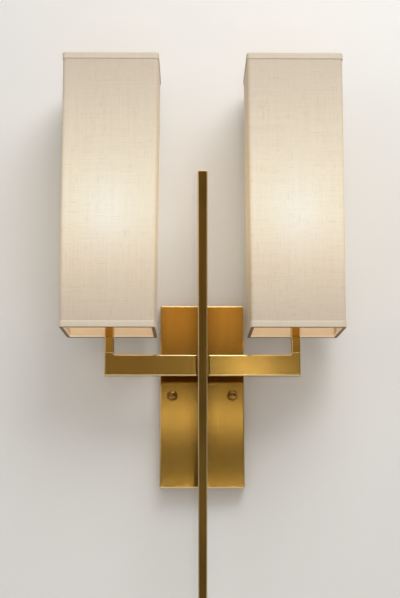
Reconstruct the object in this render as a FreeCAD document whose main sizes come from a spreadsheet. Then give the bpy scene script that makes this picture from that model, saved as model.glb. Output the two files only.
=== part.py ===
import FreeCAD, Part
import math
import os
import re

import Sketcher

from FreeCAD import Placement, Rotation, Vector

# Double arm wall sconce, in millimetres.
# +X is to the right and +Z up. The wall is the plane Y = 0 and the fixture stands out from it
# towards -Y. The origin is on the wall, midway between the two fixing studs of the back plate.

SIZES = (
    # back plate, a shallow pan with its open side to the wall
    ("plate_width", 125, "back plate, side to side"),
    ("plate_height", 270, "back plate, top to bottom"),
    ("plate_depth", 25, "back plate, wall to front face"),
    ("plate_wall", 2, "back plate, sheet thickness"),
    ("plate_edge", 2.5, "back plate, eased front edge"),
    # fixing straps behind the plate
    ("fixing_spacing", 88.9, "fixing studs, centre to centre"),
    ("box_spacing", 88.9, "outlet box screws, centre to centre"),
    ("box_bar_width", 22, "upright strap bar, width"),
    ("box_bar_end", 3.55, "upright strap bar, metal beyond each slot"),
    ("box_bar_thick", 2, "upright strap bar, thickness"),
    ("slot_width", 4.8, "strap slot, width"),
    ("slot_length", 16, "strap slot, end to end"),
    ("stud_bar_width", 20, "level strap bar, width"),
    ("stud_bar_end", 9.55, "level strap bar, metal beyond each stud"),
    ("stud_bar_thick", 2.5, "level strap bar, thickness"),
    ("bar_corner", 3, "strap bars, corner radius"),
    ("strap_bush_bore", 10.2, "strap bush, threaded bore"),
    ("strap_bush_outer", 13, "strap bush, outside"),
    ("strap_bush_rim", 17, "strap bush, rim diameter"),
    ("strap_bush_rim_thick", 1, "strap bush, rim thickness"),
    ("stud_diameter", 4.1, "fixing stud, diameter"),
    ("stud_start", 0.6, "fixing stud, back end from the wall"),
    ("stud_engagement", 7, "fixing stud, length inside the ball nut"),
    ("lock_nut_flats", 8.7, "stud lock nut, across flats"),
    ("lock_nut_thick", 3.2, "stud lock nut, thickness"),
    ("ground_screw_place", 19, "ground screw, distance from the middle"),
    ("ground_screw_diameter", 3.5, "ground screw, shank"),
    ("ground_screw_length", 6, "ground screw, shank length"),
    ("ground_head_diameter", 8, "ground screw, head"),
    ("ground_head_thick", 2.2, "ground screw, head thickness"),
    # ball nuts
    ("ball_diameter", 15.4, "ball nut, ball"),
    ("ball_height", 13.2, "ball nut, plate face to the front of the ball"),
    ("ball_foot_diameter", 9.6, "ball nut, foot"),
    ("ball_foot_thick", 1.4, "ball nut, foot thickness"),
    ("ball_bore_depth", 9, "ball nut, depth of the blind thread"),
    # fits
    ("thread_fit", 0.05, "radial clearance in every threaded or turning pair"),
    ("slip_fit", 0.1, "clearance of pieces that slide together"),
    # standoff between plate and hub
    ("arm_centre", 37.7, "arms, middle height above the studs"),
    ("standoff_diameter", 16, "standoff tube, outside"),
    ("standoff_bore", 11, "standoff tube, inside"),
    ("pipe_diameter", 9.6, "long threaded pipe, outside"),
    ("pipe_bore", 6.5, "long threaded pipe, wire bore"),
    ("pipe_tail", 7, "long threaded pipe, length behind the plate sheet"),
    ("pipe_engagement", 4.5, "long threaded pipe, length inside the hub"),
    ("pipe_washer_diameter", 20, "pipe washer, outside"),
    ("pipe_washer_thick", 1, "pipe washer, thickness"),
    ("pipe_nut_flats", 14, "pipe nut, across flats"),
    ("pipe_nut_thick", 4, "pipe nut, thickness"),
    # arms, rectangular brass tube on edge
    ("arm_axis", 82.5, "arms and shades, distance of their middle from the wall"),
    ("arm_tall", 30, "arm, height of the tube"),
    ("arm_deep", 13, "arm, front to back"),
    ("arm_wall", 1.5, "arm, wall of the tube"),
    ("arm_reach", 140.4, "arm, middle of the fixture to the outer end"),
    ("arm_edge", 2, "arm and upright, eased long edges"),
    ("arm_foot", 3, "raised seat for the upright, with a cove of the same radius"),
    # hub that joins arms, bar and standoff
    ("hub_cheek", 1.5, "hub, wall on either side of the bar"),
    ("hub_reveal", 1, "hub, set back from the top and bottom of the arms"),
    ("hub_front_reveal", 1.6, "hub, set back from the front of the arms"),
    ("spigot_length", 15, "hub, length of the spigot in each arm"),
    ("wire_channel", 7, "hub, diameter of the wire channel"),
    # tapered bar
    ("bar_top_width", 14.6, "bar, width at the top"),
    ("bar_low_width", 12, "bar, width at the bottom"),
    ("bar_top_deep", 18, "bar, front to back at the top"),
    ("bar_low_deep", 15.5, "bar, front to back at the bottom"),
    ("bar_back", 86, "bar, distance of its back from the wall"),
    ("bar_top", 322, "bar, top above the studs"),
    ("bar_low", 322, "bar, bottom below the studs"),
    ("bar_edge", 1.8, "bar, eased edges"),
    ("bar_screw_diameter", 4, "bar screw, shank"),
    ("bar_screw_grip", 8, "bar screw, length inside the bar"),
    ("bar_screw_head", 7, "bar screw, head diameter"),
    ("bar_screw_head_thick", 2.2, "bar screw, head thickness"),
    ("bar_screw_spacing", 19, "bar screws, centre to centre"),
    # uprights
    ("upright_width", 13.1, "upright, side to side"),
    ("upright_wall", 1.3, "upright, wall of the tube"),
    ("upright_top", 155, "upright, top above the studs"),
    ("bush_tall", 12, "upright bush, height"),
    ("small_pipe_diameter", 8, "short threaded pipe, outside"),
    ("small_pipe_bore", 5.5, "short threaded pipe, wire bore"),
    # lamp holder
    ("cup_diameter", 38, "turned cup, outside"),
    ("cup_tall", 12, "turned cup, height"),
    ("cup_wall", 1.2, "turned cup, wall"),
    ("holder_base_diameter", 33, "lamp holder, lower body"),
    ("holder_foot_tall", 31.8, "lamp holder, height of the body below the flange"),
    ("holder_flange_diameter", 45, "lamp holder, flange that carries the shade"),
    ("holder_flange_thick", 3, "lamp holder, flange thickness"),
    ("holder_thread_diameter", 39.4, "lamp holder, outside thread for the ring"),
    ("holder_thread_tall", 15, "lamp holder, height of the outside thread"),
    ("holder_well", 30, "lamp holder, depth of the well for the screw shell"),
    ("holder_grip", 8, "lamp holder, length of the short pipe inside it"),
    ("shell_inner_diameter", 26.45, "screw shell, inside"),
    ("shell_wall", 0.5, "screw shell, wall"),
    ("shell_floor_hole", 10, "screw shell, opening in its floor"),
    ("contact_width", 6, "centre contact, width"),
    ("contact_thick", 0.6, "centre contact, thickness"),
    ("contact_rise", 2.4, "centre contact, height of its raised tongue"),
    ("ring_outer", 54, "shade ring, rim diameter"),
    ("ring_collar", 46, "shade ring, collar diameter"),
    ("ring_tall", 9, "shade ring, height"),
    ("ring_rim_tall", 3, "shade ring, height of the rim"),
    ("ring_notch", 3, "shade ring, diameter of the finger notches"),
    ("ring_notches", 24, "shade ring, number of finger notches"),
    # bulb
    ("bulb_base_diameter", 26.3, "bulb, screw base"),
    ("bulb_base_tall", 22, "bulb, height of the screw base"),
    ("bulb_base_cone", 4, "bulb, height of the cone below the screw base"),
    ("bulb_tip_diameter", 10, "bulb, bottom contact"),
    ("bulb_tip_tall", 2, "bulb, height of the bottom contact"),
    ("tip_gap", 0.3, "running gap between bulb tip and centre contact"),
    ("bulb_diameter", 60, "bulb, globe"),
    ("bulb_neck_radius", 12.8, "bulb, neck radius"),
    ("bulb_shoulder", 40, "bulb, radius of the hollow curve from neck to globe"),
    ("bulb_neck_tall", 3, "bulb, straight neck above the base"),
    ("glass_wall", 1, "bulb, glass thickness"),
    # shades, slightly wider at the top
    ("shade_top_width", 139.2, "shade, width at the top"),
    ("shade_low_width", 133.1, "shade, width at the bottom"),
    ("shade_top_deep", 107, "shade, front to back at the top"),
    ("shade_low_deep", 104, "shade, front to back at the bottom"),
    ("shade_bottom", 85.3, "shade, bottom edge above the studs"),
    ("shade_tall", 404.5, "shade, height"),
    ("shade_corner", 5, "shade, corner radius"),
    ("skin_thick", 1, "shade, linen and lining together"),
    ("trim_tall", 9.6, "trim tape, height on the outside"),
    ("trim_thick", 0.6, "trim tape, thickness"),
    ("wire_diameter", 3, "shade wires, diameter"),
    ("washer_outer", 60, "shade washer, outside"),
    ("washer_thick", 1.5, "shade washer, thickness"),
    ("spoke_lap", 1, "shade spokes, lap on the washer"),
)

CLEAR_THREAD = "2 * thread_fit"
PLATE_INSIDE = "(plate_depth - plate_wall)"
STRAPS = "(box_bar_thick + stud_bar_thick)"
BOX_BAR_LENGTH = "(box_spacing + slot_length + 2 * box_bar_end)"
STUD_BAR_LENGTH = "(fixing_spacing + 2 * stud_bar_end)"
HUB_BACK = "(arm_axis - arm_deep / 2)"
ARM_FRONT = "(arm_axis + arm_deep / 2)"
ARM_TOP = "(arm_centre + arm_tall / 2)"
ARM_LOW = "(arm_centre - arm_tall / 2)"
SEAT_TOP = f"({ARM_TOP} + arm_foot)"
SHADE_PLACE = "(arm_reach - upright_width / 2)"
BAR_SHARE = "((bar_low + arm_centre) / (bar_low + bar_top))"
BAR_WIDTH = f"(bar_low_width + (bar_top_width - bar_low_width) * {BAR_SHARE})"
BAR_GROOVE = f"({BAR_WIDTH} + 2 * slip_fit)"
HUB_HALF = f"({BAR_GROOVE} / 2 + hub_cheek)"
HOLDER_SEAT = "(upright_top + cup_wall)"
FLANGE_TOP = f"({HOLDER_SEAT} + holder_foot_tall + holder_flange_thick)"
HOLDER_TOP = f"({FLANGE_TOP} + holder_thread_tall)"
HOLDER_FLOOR = f"({HOLDER_TOP} - holder_well)"
CONTACT_TOP = f"({HOLDER_FLOOR} + shell_wall + contact_rise)"
BULB_FOOT = f"({CONTACT_TOP} + tip_gap)"
BASE_FOOT = f"({BULB_FOOT} + bulb_tip_tall)"
BASE_TOP = f"({BASE_FOOT} + bulb_base_tall)"
NECK_TOP = f"({BASE_TOP} + bulb_neck_tall)"
SHADE_TOP = "(shade_bottom + shade_tall)"

doc = FreeCAD.newDocument("WallSconce")
sheet = doc.addObject("Spreadsheet::Sheet", "Sizes")
for line, (word, number, note) in enumerate(SIZES, start=1):
    sheet.set(f"A{line}", note)
    sheet.set(f"B{line}", str(number))
    sheet.setAlias(f"B{line}", word)
doc.recompute()

WORDS = {word for word, _, _ in SIZES}
pieces = []


def sized(expression):
    """The expression with each size read from the sheet."""
    return re.sub(r"[a-z_]+", lambda word: f"Sizes.{word[0]}" if word[0] in WORDS else word[0], expression)


def value(expression):
    """The number that an expression of sizes gives now."""
    return float(sheet.evalExpression(expression))


def bind(thing, path, expression):
    """Tie a property of an object to sizes in the sheet."""
    thing.setExpression(path, sized(expression))


def keep(piece, label):
    """Name a finished piece and put it on the list of nodes."""
    piece.Label = label
    pieces.append(piece)
    return piece


def place(piece, across="0", out="0", up="0"):
    """Put a piece at a distance across, out from the wall and up."""
    bind(piece, "Placement.Base.x", across)
    bind(piece, "Placement.Base.y", f"-({out})")
    bind(piece, "Placement.Base.z", up)
    return piece


def new_body(label, several=False):
    """A body, which may hold several separate solids."""
    body = doc.addObject("PartDesign::Body", f"{label}_body")
    body.AllowCompound = several
    return keep(body, label)


def origin_part(body, role):
    """One of the planes or axes of the body's own origin."""
    return next(item for item in body.Origin.OriginFeatures if item.Role == role)


def sketch_on(body, role, lift="0"):
    """A sketch on one of the body's origin planes, lifted along the plane's normal."""
    made = body.newObject("Sketcher::SketchObject", f"{body.Label}_sketch")
    made.AttachmentSupport = [(origin_part(body, role), "")]
    made.MapMode = "FlatFace"
    bind(made, "AttachmentOffset.Base.z", lift)
    return made


def fix_point(made, edge, end, x, y):
    """Hold one end of an edge, or a centre, at a place given by sizes."""
    for kind, where in (("DistanceX", x), ("DistanceY", y)):
        index = made.addConstraint(Sketcher.Constraint(kind, -1, 1, edge, end, value(where)))
        bind(made, f"Constraints[{index}]", where)


def fix_radius(made, edge, radius):
    """Hold the radius of a circle or an arc."""
    index = made.addConstraint(Sketcher.Constraint("Radius", edge, value(radius)))
    bind(made, f"Constraints[{index}]", radius)


def arc_between(first, last, radius, turn):
    """The shorter arc from first to last; turn is 1 anticlockwise and -1 clockwise."""
    chord = last - first
    side = Vector(-chord.y, chord.x, 0).normalize() * turn
    centre = (first + last) * 0.5 + side * math.sqrt(max(radius**2 - (chord.Length / 2) ** 2, 0))
    ends = (first, last) if turn > 0 else (last, first)
    angles = [math.atan2(point.y - centre.y, point.x - centre.x) for point in ends]
    return Part.ArcOfCircle(Part.Circle(centre, Vector(0, 0, 1), radius), *angles)


def outline(made, start, *steps):
    """A closed outline; a step is (x, y), or (x, y, radius, turn) where it is an arc."""
    corners = [start] + [step[:2] for step in steps]
    points = [Vector(value(x), value(y), 0) for x, y in corners]
    edges = []
    for number, step in enumerate(steps):
        first, last = points[number], points[number + 1]
        if len(step) == 2:
            edge = made.addGeometry(Part.LineSegment(first, last))
            edges.append((edge, 1, 2))
            continue
        radius, turn = step[2:]
        edge = made.addGeometry(arc_between(first, last, value(radius), turn))
        edges.append((edge, 1, 2) if turn > 0 else (edge, 2, 1))
        fix_radius(made, edge, radius)
    for number, (edge, head, _) in enumerate(edges):
        before, _, tail = edges[number - 1]
        made.addConstraint(Sketcher.Constraint("Coincident", before, tail, edge, head))
        fix_point(made, edge, head, *corners[number])
    return made


def rectangle(made, width, height, x="0", y="0"):
    """A rectangle about the point x, y."""
    left, right = f"({x}) - ({width}) / 2", f"({x}) + ({width}) / 2"
    low, high = f"({y}) - ({height}) / 2", f"({y}) + ({height}) / 2"
    return outline(made, (left, low), (right, low), (right, high), (left, high), (left, low))


def rounded_rectangle(made, width, height, radius):
    """A rectangle about the origin with rounded corners."""
    side, end = f"(({width}) / 2)", f"(({height}) / 2)"
    x, y = f"({side} - ({radius}))", f"({end} - ({radius}))"
    return outline(
        made,
        (f"-{x}", f"-{end}"),
        (x, f"-{end}"),
        (side, f"-{y}", radius, 1),
        (side, y),
        (x, end, radius, 1),
        (f"-{x}", end),
        (f"-{side}", y, radius, 1),
        (f"-{side}", f"-{y}"),
        (f"-{x}", f"-{end}", radius, 1),
    )


def hexagon(made, flats, x="0", y="0"):
    """A hexagon about the point x, y, given across its flats."""
    half, reach = f"({flats}) / 2", f"({flats}) / sqrt(3)"
    ring = (("1", "0.5"), ("0", "1"), ("-1", "0.5"), ("-1", "-0.5"), ("0", "-1"), ("1", "-0.5"), ("1", "0.5"))
    corners = [(f"({x}) + {across} * {half}", f"({y}) + {up} * {reach}") for across, up in ring]
    return outline(made, *corners)


def circle(made, diameter, x="0", y="0"):
    """A circle about the point x, y."""
    radius = f"({diameter}) / 2"
    middle = Vector(value(x), value(y), 0)
    edge = made.addGeometry(Part.Circle(middle, Vector(0, 0, 1), value(radius)))
    fix_point(made, edge, 3, x, y)
    fix_radius(made, edge, radius)
    return made


def raise_solid(body, profile, length):
    """Pad a sketch along its normal."""
    pad = body.newObject("PartDesign::Pad", "Pad")
    pad.Profile = profile
    bind(pad, "Length", length)
    body.Tip = pad
    return pad


def cut(body, profile, depth, along=False):
    """Pocket a sketch against its normal, or along it; a cut that removes nothing is an error."""
    doc.recompute()
    before = body.Shape.Volume
    pocket = body.newObject("PartDesign::Pocket", "Pocket")
    pocket.Profile = profile
    pocket.Reversed = along
    bind(pocket, "Length", depth)
    body.Tip = pocket
    doc.recompute()
    if not 0 < body.Shape.Volume < before - 1e-6:
        raise ValueError(f"a cut in {body.Label} removes nothing, or everything")
    return pocket


def turn(body, profile):
    """Revolve a sketch about its vertical axis."""
    solid = body.newObject("PartDesign::Revolution", "Revolution")
    solid.Profile = profile
    solid.ReferenceAxis = (profile, ["V_Axis"])
    solid.Angle = 360
    body.Tip = solid
    return solid


def repeat_around(body, feature, count):
    """Repeat a feature evenly about the body's upright axis."""
    pattern = body.newObject("PartDesign::PolarPattern", "PolarPattern")
    pattern.Originals = [feature]
    pattern.Axis = (origin_part(body, "Z_Axis"), [""])
    bind(pattern, "Occurrences", count)
    body.Tip = pattern
    return pattern


def loft(body, first, last, kind="PartDesign::AdditiveLoft"):
    """A straight loft from one sketch to another."""
    solid = body.newObject(kind, "Loft")
    solid.Profile = first
    solid.Sections = [last]
    solid.Ruled = True
    body.Tip = solid
    return solid


def ease(body, radius, wanted):
    """Fillet the edges of the body for which wanted(edge) is true."""
    doc.recompute()
    base = body.Tip
    names = [f"Edge{number}" for number, edge in enumerate(base.Shape.Edges, start=1) if wanted(edge)]
    fillet = body.newObject("PartDesign::Fillet", "Fillet")
    fillet.Base = (base, names)
    bind(fillet, "Radius", radius)
    body.Tip = fillet
    doc.recompute()
    return fillet


def level_at(axis, where):
    """Test for edges that lie wholly at one coordinate."""
    place_of = {"x": lambda box: (box.XMin, box.XMax), "y": lambda box: (box.YMin, box.YMax)}
    place_of["z"] = lambda box: (box.ZMin, box.ZMax)
    target = value(where)
    return lambda edge: all(abs(end - target) < 1e-4 for end in place_of[axis](edge.BoundBox))


def runs_along(axis):
    """Test for straight edges along, or nearly along, one axis."""
    way = {"x": Vector(1, 0, 0), "y": Vector(0, 1, 0), "z": Vector(0, 0, 1)}[axis]

    def wanted(edge):
        if not isinstance(edge.Curve, Part.Line):
            return False
        run = edge.Vertexes[-1].Point - edge.Vertexes[0].Point
        return abs(run.normalize().dot(way)) > 0.99

    return wanted


def ring_out(label, outer, inner, start, length, x="0", z="0"):
    """A plain ring or tube whose axis stands out from the wall."""
    body = new_body(label)
    profile = sketch_on(body, "XZ_Plane", start)
    circle(profile, outer, x, z)
    circle(profile, inner, x, z)
    raise_solid(body, profile, length)
    return body


def ring_up(label, outer, inner, start, length):
    """A plain ring or tube whose axis stands upright."""
    body = new_body(label)
    profile = sketch_on(body, "XY_Plane", start)
    circle(profile, outer)
    circle(profile, inner)
    raise_solid(body, profile, length)
    return body


# Fixing straps -----------------------------------------------------------------------------


def make_box_bar():
    """Upright steel bar with two slots for the outlet box screws."""
    body = new_body("box_bar")
    profile = rectangle(sketch_on(body, "XZ_Plane"), "box_bar_width", BOX_BAR_LENGTH)
    raise_solid(body, profile, "box_bar_thick")
    ease(body, "bar_corner", runs_along("y"))
    straight = sketch_on(body, "XZ_Plane")
    ends = sketch_on(body, "XZ_Plane")
    middle = sketch_on(body, "XZ_Plane")
    run = "(slot_length - slot_width)"
    for way in ("-1", "1"):
        rectangle(straight, "slot_width", run, "0", f"{way} * box_spacing / 2")
    cut(body, straight, "box_bar_thick", along=True)
    for way in ("-1", "1"):
        for end in ("-1", "1"):
            circle(ends, "slot_width", "0", f"{way} * box_spacing / 2 + {end} * {run} / 2")
    cut(body, ends, "box_bar_thick", along=True)
    circle(middle, f"strap_bush_outer + {CLEAR_THREAD}")
    cut(body, middle, "box_bar_thick", along=True)


def make_stud_bar():
    """Level steel bar across the first one, tapped for the studs and the ground screw."""
    body = new_body("stud_bar")
    profile = rectangle(sketch_on(body, "XZ_Plane", "box_bar_thick"), STUD_BAR_LENGTH, "stud_bar_width")
    raise_solid(body, profile, "stud_bar_thick")
    ease(body, "bar_corner", runs_along("y"))
    holes = sketch_on(body, "XZ_Plane", "box_bar_thick")
    circle(holes, f"strap_bush_outer + {CLEAR_THREAD}")
    circle(holes, f"ground_screw_diameter + {CLEAR_THREAD}", "ground_screw_place")
    for way in ("-1", "1"):
        circle(holes, f"stud_diameter + {CLEAR_THREAD}", f"{way} * fixing_spacing / 2")
    cut(body, holes, "stud_bar_thick", along=True)


def make_strap_bush():
    """Hollow rivet that holds the two bars together; its bore is threaded."""
    body = new_body("strap_bush")
    inner, outer, rim = "strap_bush_bore / 2", "strap_bush_outer / 2", "strap_bush_rim / 2"
    sketch = outline(
        sketch_on(body, "XY_Plane"),
        (inner, "0"),
        (outer, "0"),
        (outer, f"-{STRAPS}"),
        (rim, f"-{STRAPS}"),
        (rim, f"-({STRAPS} + strap_bush_rim_thick)"),
        (inner, f"-({STRAPS} + strap_bush_rim_thick)"),
        (inner, "0"),
    )
    turn(body, sketch)


def make_studs():
    """Two studs through the stud bar, the lock nuts on them and the ground screw."""
    studs = new_body("plate_studs", several=True)
    profile = sketch_on(studs, "XZ_Plane", "stud_start")
    for way in ("-1", "1"):
        circle(profile, "stud_diameter", f"{way} * fixing_spacing / 2")
    raise_solid(studs, profile, "plate_depth + stud_engagement - stud_start")
    nuts = new_body("stud_lock_nuts", several=True)
    profile = sketch_on(nuts, "XZ_Plane", STRAPS)
    for way in ("-1", "1"):
        hexagon(profile, "lock_nut_flats", f"{way} * fixing_spacing / 2")
        circle(profile, f"stud_diameter + {CLEAR_THREAD}", f"{way} * fixing_spacing / 2")
    raise_solid(nuts, profile, "lock_nut_thick")
    screw = new_body("ground_screw")
    back = f"-({STRAPS} + ground_head_thick - ground_screw_length)"
    sketch = outline(
        sketch_on(screw, "XY_Plane"),
        ("0", back),
        ("ground_screw_diameter / 2", back),
        ("ground_screw_diameter / 2", f"-{STRAPS}"),
        ("ground_head_diameter / 2", f"-{STRAPS}"),
        ("ground_head_diameter / 2", f"-({STRAPS} + ground_head_thick)"),
        ("0", f"-({STRAPS} + ground_head_thick)"),
        ("0", back),
    )
    turn(screw, sketch)
    place(screw, across="ground_screw_place")


# Back plate and ball nuts --------------------------------------------------------------------


def make_back_plate():
    """Shallow brass pan with eased front edges, open towards the wall."""
    body = new_body("back_plate")
    raise_solid(body, rectangle(sketch_on(body, "XZ_Plane"), "plate_width", "plate_height"), "plate_depth")
    ease(body, "plate_edge", level_at("y", "-plate_depth"))
    hollow = rectangle(
        sketch_on(body, "XZ_Plane"), "plate_width - 2 * plate_wall", "plate_height - 2 * plate_wall"
    )
    cut(body, hollow, PLATE_INSIDE, along=True)
    holes = sketch_on(body, "XZ_Plane", PLATE_INSIDE)
    circle(holes, "pipe_diameter + 2 * slip_fit", "0", "arm_centre")
    for way in ("-1", "1"):
        circle(holes, "stud_diameter + 2 * slip_fit", f"{way} * fixing_spacing / 2")
    cut(body, holes, "plate_wall", along=True)


def make_ball_nut(side, way):
    """Ball nut with a small foot and a blind thread; it clamps the plate to its stud."""
    body = new_body(f"ball_nut_{side}")
    foot, bore = "ball_foot_diameter / 2", f"(stud_diameter / 2 + thread_fit)"
    middle = "(ball_height - ball_diameter / 2)"
    waist = f"sqrt((ball_diameter / 2)^2 - ({middle} - ball_foot_thick)^2)"
    sketch = outline(
        sketch_on(body, "XY_Plane"),
        (bore, "0"),
        (foot, "0"),
        (foot, "-ball_foot_thick"),
        (waist, "-ball_foot_thick"),
        ("0", "-ball_height", "ball_diameter / 2", -1),
        ("0", "-ball_bore_depth"),
        (bore, "-ball_bore_depth"),
        (bore, "0"),
    )
    turn(body, sketch)
    place(body, across=f"{way} * fixing_spacing / 2", out="plate_depth")


# Standoff, hub and bar -----------------------------------------------------------------------


def make_standoff():
    """Tube between plate and hub, the threaded pipe inside it, and its washer and nut."""
    ring_out(
        "standoff_tube",
        "standoff_diameter",
        "standoff_bore",
        "plate_depth",
        f"{HUB_BACK} - plate_depth",
        z="arm_centre",
    )
    ring_out(
        "standoff_pipe",
        "pipe_diameter",
        "pipe_bore",
        f"{PLATE_INSIDE} - pipe_tail",
        f"{HUB_BACK} + pipe_engagement - {PLATE_INSIDE} + pipe_tail",
        z="arm_centre",
    )
    ring_out(
        "pipe_washer",
        "pipe_washer_diameter",
        "pipe_diameter + 2 * slip_fit",
        f"{PLATE_INSIDE} - pipe_washer_thick",
        "pipe_washer_thick",
        z="arm_centre",
    )
    nut = new_body("pipe_nut")
    profile = sketch_on(nut, "XZ_Plane", f"{PLATE_INSIDE} - pipe_washer_thick - pipe_nut_thick")
    hexagon(profile, "pipe_nut_flats", "0", "arm_centre")
    circle(profile, f"pipe_diameter + {CLEAR_THREAD}", "0", "arm_centre")
    raise_solid(nut, profile, "pipe_nut_thick")


def make_hub():
    """Brass block with a groove for the bar, a spigot for each arm and a drilled wire way."""
    body = new_body("hub")
    block = sketch_on(body, "XZ_Plane", HUB_BACK)
    rectangle(block, f"2 * {HUB_HALF}", "arm_tall - 2 * hub_reveal", "0", "arm_centre")
    raise_solid(body, block, "arm_deep - hub_front_reveal")
    spigots = sketch_on(body, "YZ_Plane", f"-({HUB_HALF} + spigot_length)")
    inside = "2 * (arm_wall + slip_fit)"
    rectangle(spigots, f"arm_deep - {inside}", f"arm_tall - {inside}", "-arm_axis", "arm_centre")
    raise_solid(body, spigots, f"2 * ({HUB_HALF} + spigot_length)")
    groove = sketch_on(body, "XZ_Plane", "bar_back")
    rectangle(groove, BAR_GROOVE, "arm_tall", "0", "arm_centre")
    cut(body, groove, "arm_deep", along=True)
    channel = sketch_on(body, "YZ_Plane", f"-({HUB_HALF} + spigot_length)")
    circle(channel, "wire_channel", f"-({HUB_BACK} + (bar_back - {HUB_BACK}) / 2)", "arm_centre")
    cut(body, channel, f"2 * ({HUB_HALF} + spigot_length)", along=True)
    entry = sketch_on(body, "XZ_Plane", HUB_BACK)
    circle(entry, f"pipe_diameter + {CLEAR_THREAD}", "0", "arm_centre")
    cut(body, entry, "pipe_engagement", along=True)
    sinks = sketch_on(body, "XZ_Plane", HUB_BACK)
    drills = sketch_on(body, "XZ_Plane", HUB_BACK)
    for way in ("-1", "1"):
        height = f"arm_centre + {way} * bar_screw_spacing / 2"
        circle(sinks, "bar_screw_head + 4 * slip_fit", "0", height)
        circle(drills, "bar_screw_diameter + 2 * slip_fit", "0", height)
    cut(body, sinks, "bar_screw_head_thick + slip_fit", along=True)
    cut(body, drills, f"bar_back - {HUB_BACK}", along=True)


def make_bar():
    """Long bar that narrows downwards, with every edge eased, tapped at the hub."""
    body = new_body("tapered_bar")
    wedge = body.newObject("PartDesign::AdditiveWedge", "Wedge")
    wedge.AttachmentSupport = [(origin_part(body, "XZ_Plane"), "")]
    wedge.MapMode = "FlatFace"
    low, top = "bar_low_width / 2", "bar_top_width / 2"
    for path, size in (
        ("Xmin", f"-{low}"),
        ("Xmax", low),
        ("X2min", f"-{top}"),
        ("X2max", top),
        ("Ymin", "-bar_low"),
        ("Ymax", "bar_top"),
        ("Zmin", "bar_back"),
        ("Zmax", "bar_back + bar_low_deep"),
        ("Z2min", "bar_back"),
        ("Z2max", "bar_back + bar_top_deep"),
    ):
        bind(wedge, path, size)
    body.Tip = wedge
    ease(body, "bar_edge", lambda edge: True)
    taps = sketch_on(body, "XZ_Plane", "bar_back")
    for way in ("-1", "1"):
        height = f"arm_centre + {way} * bar_screw_spacing / 2"
        circle(taps, f"bar_screw_diameter + {CLEAR_THREAD}", "0", height)
    cut(body, taps, "bar_screw_grip + slip_fit", along=True)
    screws = new_body("bar_screws", several=True)
    heads = sketch_on(screws, "XZ_Plane", f"{HUB_BACK} + slip_fit")
    shanks = sketch_on(screws, "XZ_Plane", f"{HUB_BACK} + slip_fit + bar_screw_head_thick")
    for way in ("-1", "1"):
        height = f"arm_centre + {way} * bar_screw_spacing / 2"
        circle(heads, "bar_screw_head", "0", height)
        circle(shanks, "bar_screw_diameter", "0", height)
    raise_solid(screws, heads, "bar_screw_head_thick")
    raise_solid(screws, shanks, f"bar_back + bar_screw_grip - {HUB_BACK} - slip_fit - bar_screw_head_thick")


# Arms and uprights ---------------------------------------------------------------------------


def make_arms():
    """Rectangular tube arm with a raised, coved seat for its upright; the left one is its mirror image."""
    body = new_body("arm_right")
    shape = sketch_on(body, "XZ_Plane", HUB_BACK)
    inner_edge = "(arm_reach - upright_width)"
    outline(
        shape,
        (HUB_HALF, ARM_LOW),
        ("arm_reach", ARM_LOW),
        ("arm_reach", SEAT_TOP),
        (inner_edge, SEAT_TOP),
        (f"{inner_edge} - arm_foot", ARM_TOP, "arm_foot", -1),
        (HUB_HALF, ARM_TOP),
        (HUB_HALF, ARM_LOW),
    )
    raise_solid(body, shape, "arm_deep")
    seat = level_at("z", SEAT_TOP)
    for side in (ARM_FRONT, HUB_BACK):
        face = level_at("y", f"-{side}")
        ease(body, "arm_edge", lambda edge: face(edge) and not seat(edge))
    bore = sketch_on(body, "YZ_Plane", HUB_HALF)
    rectangle(bore, "arm_deep - 2 * arm_wall", "arm_tall - 2 * arm_wall", "-arm_axis", "arm_centre")
    cut(body, bore, f"arm_reach - arm_wall - {HUB_HALF}", along=True)
    well = sketch_on(body, "XY_Plane", SEAT_TOP)
    inside = "2 * upright_wall"
    rectangle(well, f"upright_width - {inside}", f"arm_deep - {inside}", SHADE_PLACE, "-arm_axis")
    cut(body, well, "arm_foot + arm_wall")
    mirrored = doc.addObject("Part::Mirroring", "arm_left_mirror")
    mirrored.Source = body
    mirrored.Normal = Vector(1, 0, 0)
    keep(mirrored, "arm_left")


def make_upright(side, way):
    """Square tube that rises from the arm's end into the shade, with the threaded bush in its top."""
    tube = new_body(f"upright_{side}")
    profile = rectangle(sketch_on(tube, "XY_Plane", SEAT_TOP), "upright_width", "arm_deep")
    raise_solid(tube, profile, f"upright_top - {SEAT_TOP}")
    ease(tube, "arm_edge", runs_along("z"))
    inside = "2 * upright_wall"
    hollow = sketch_on(tube, "XY_Plane", "upright_top")
    rectangle(hollow, f"upright_width - {inside}", f"arm_deep - {inside}")
    cut(tube, hollow, f"upright_top - {SEAT_TOP}")
    bush = new_body(f"upright_bush_{side}")
    block = sketch_on(bush, "XY_Plane", "upright_top - bush_tall")
    inside = "2 * (upright_wall + slip_fit)"
    rectangle(block, f"upright_width - {inside}", f"arm_deep - {inside}")
    circle(block, f"small_pipe_diameter + {CLEAR_THREAD}")
    raise_solid(bush, block, "bush_tall")
    for piece in (tube, bush):
        place(piece, across=f"{way} * {SHADE_PLACE}", out="arm_axis")


# Lamp holder ---------------------------------------------------------------------------------


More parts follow.
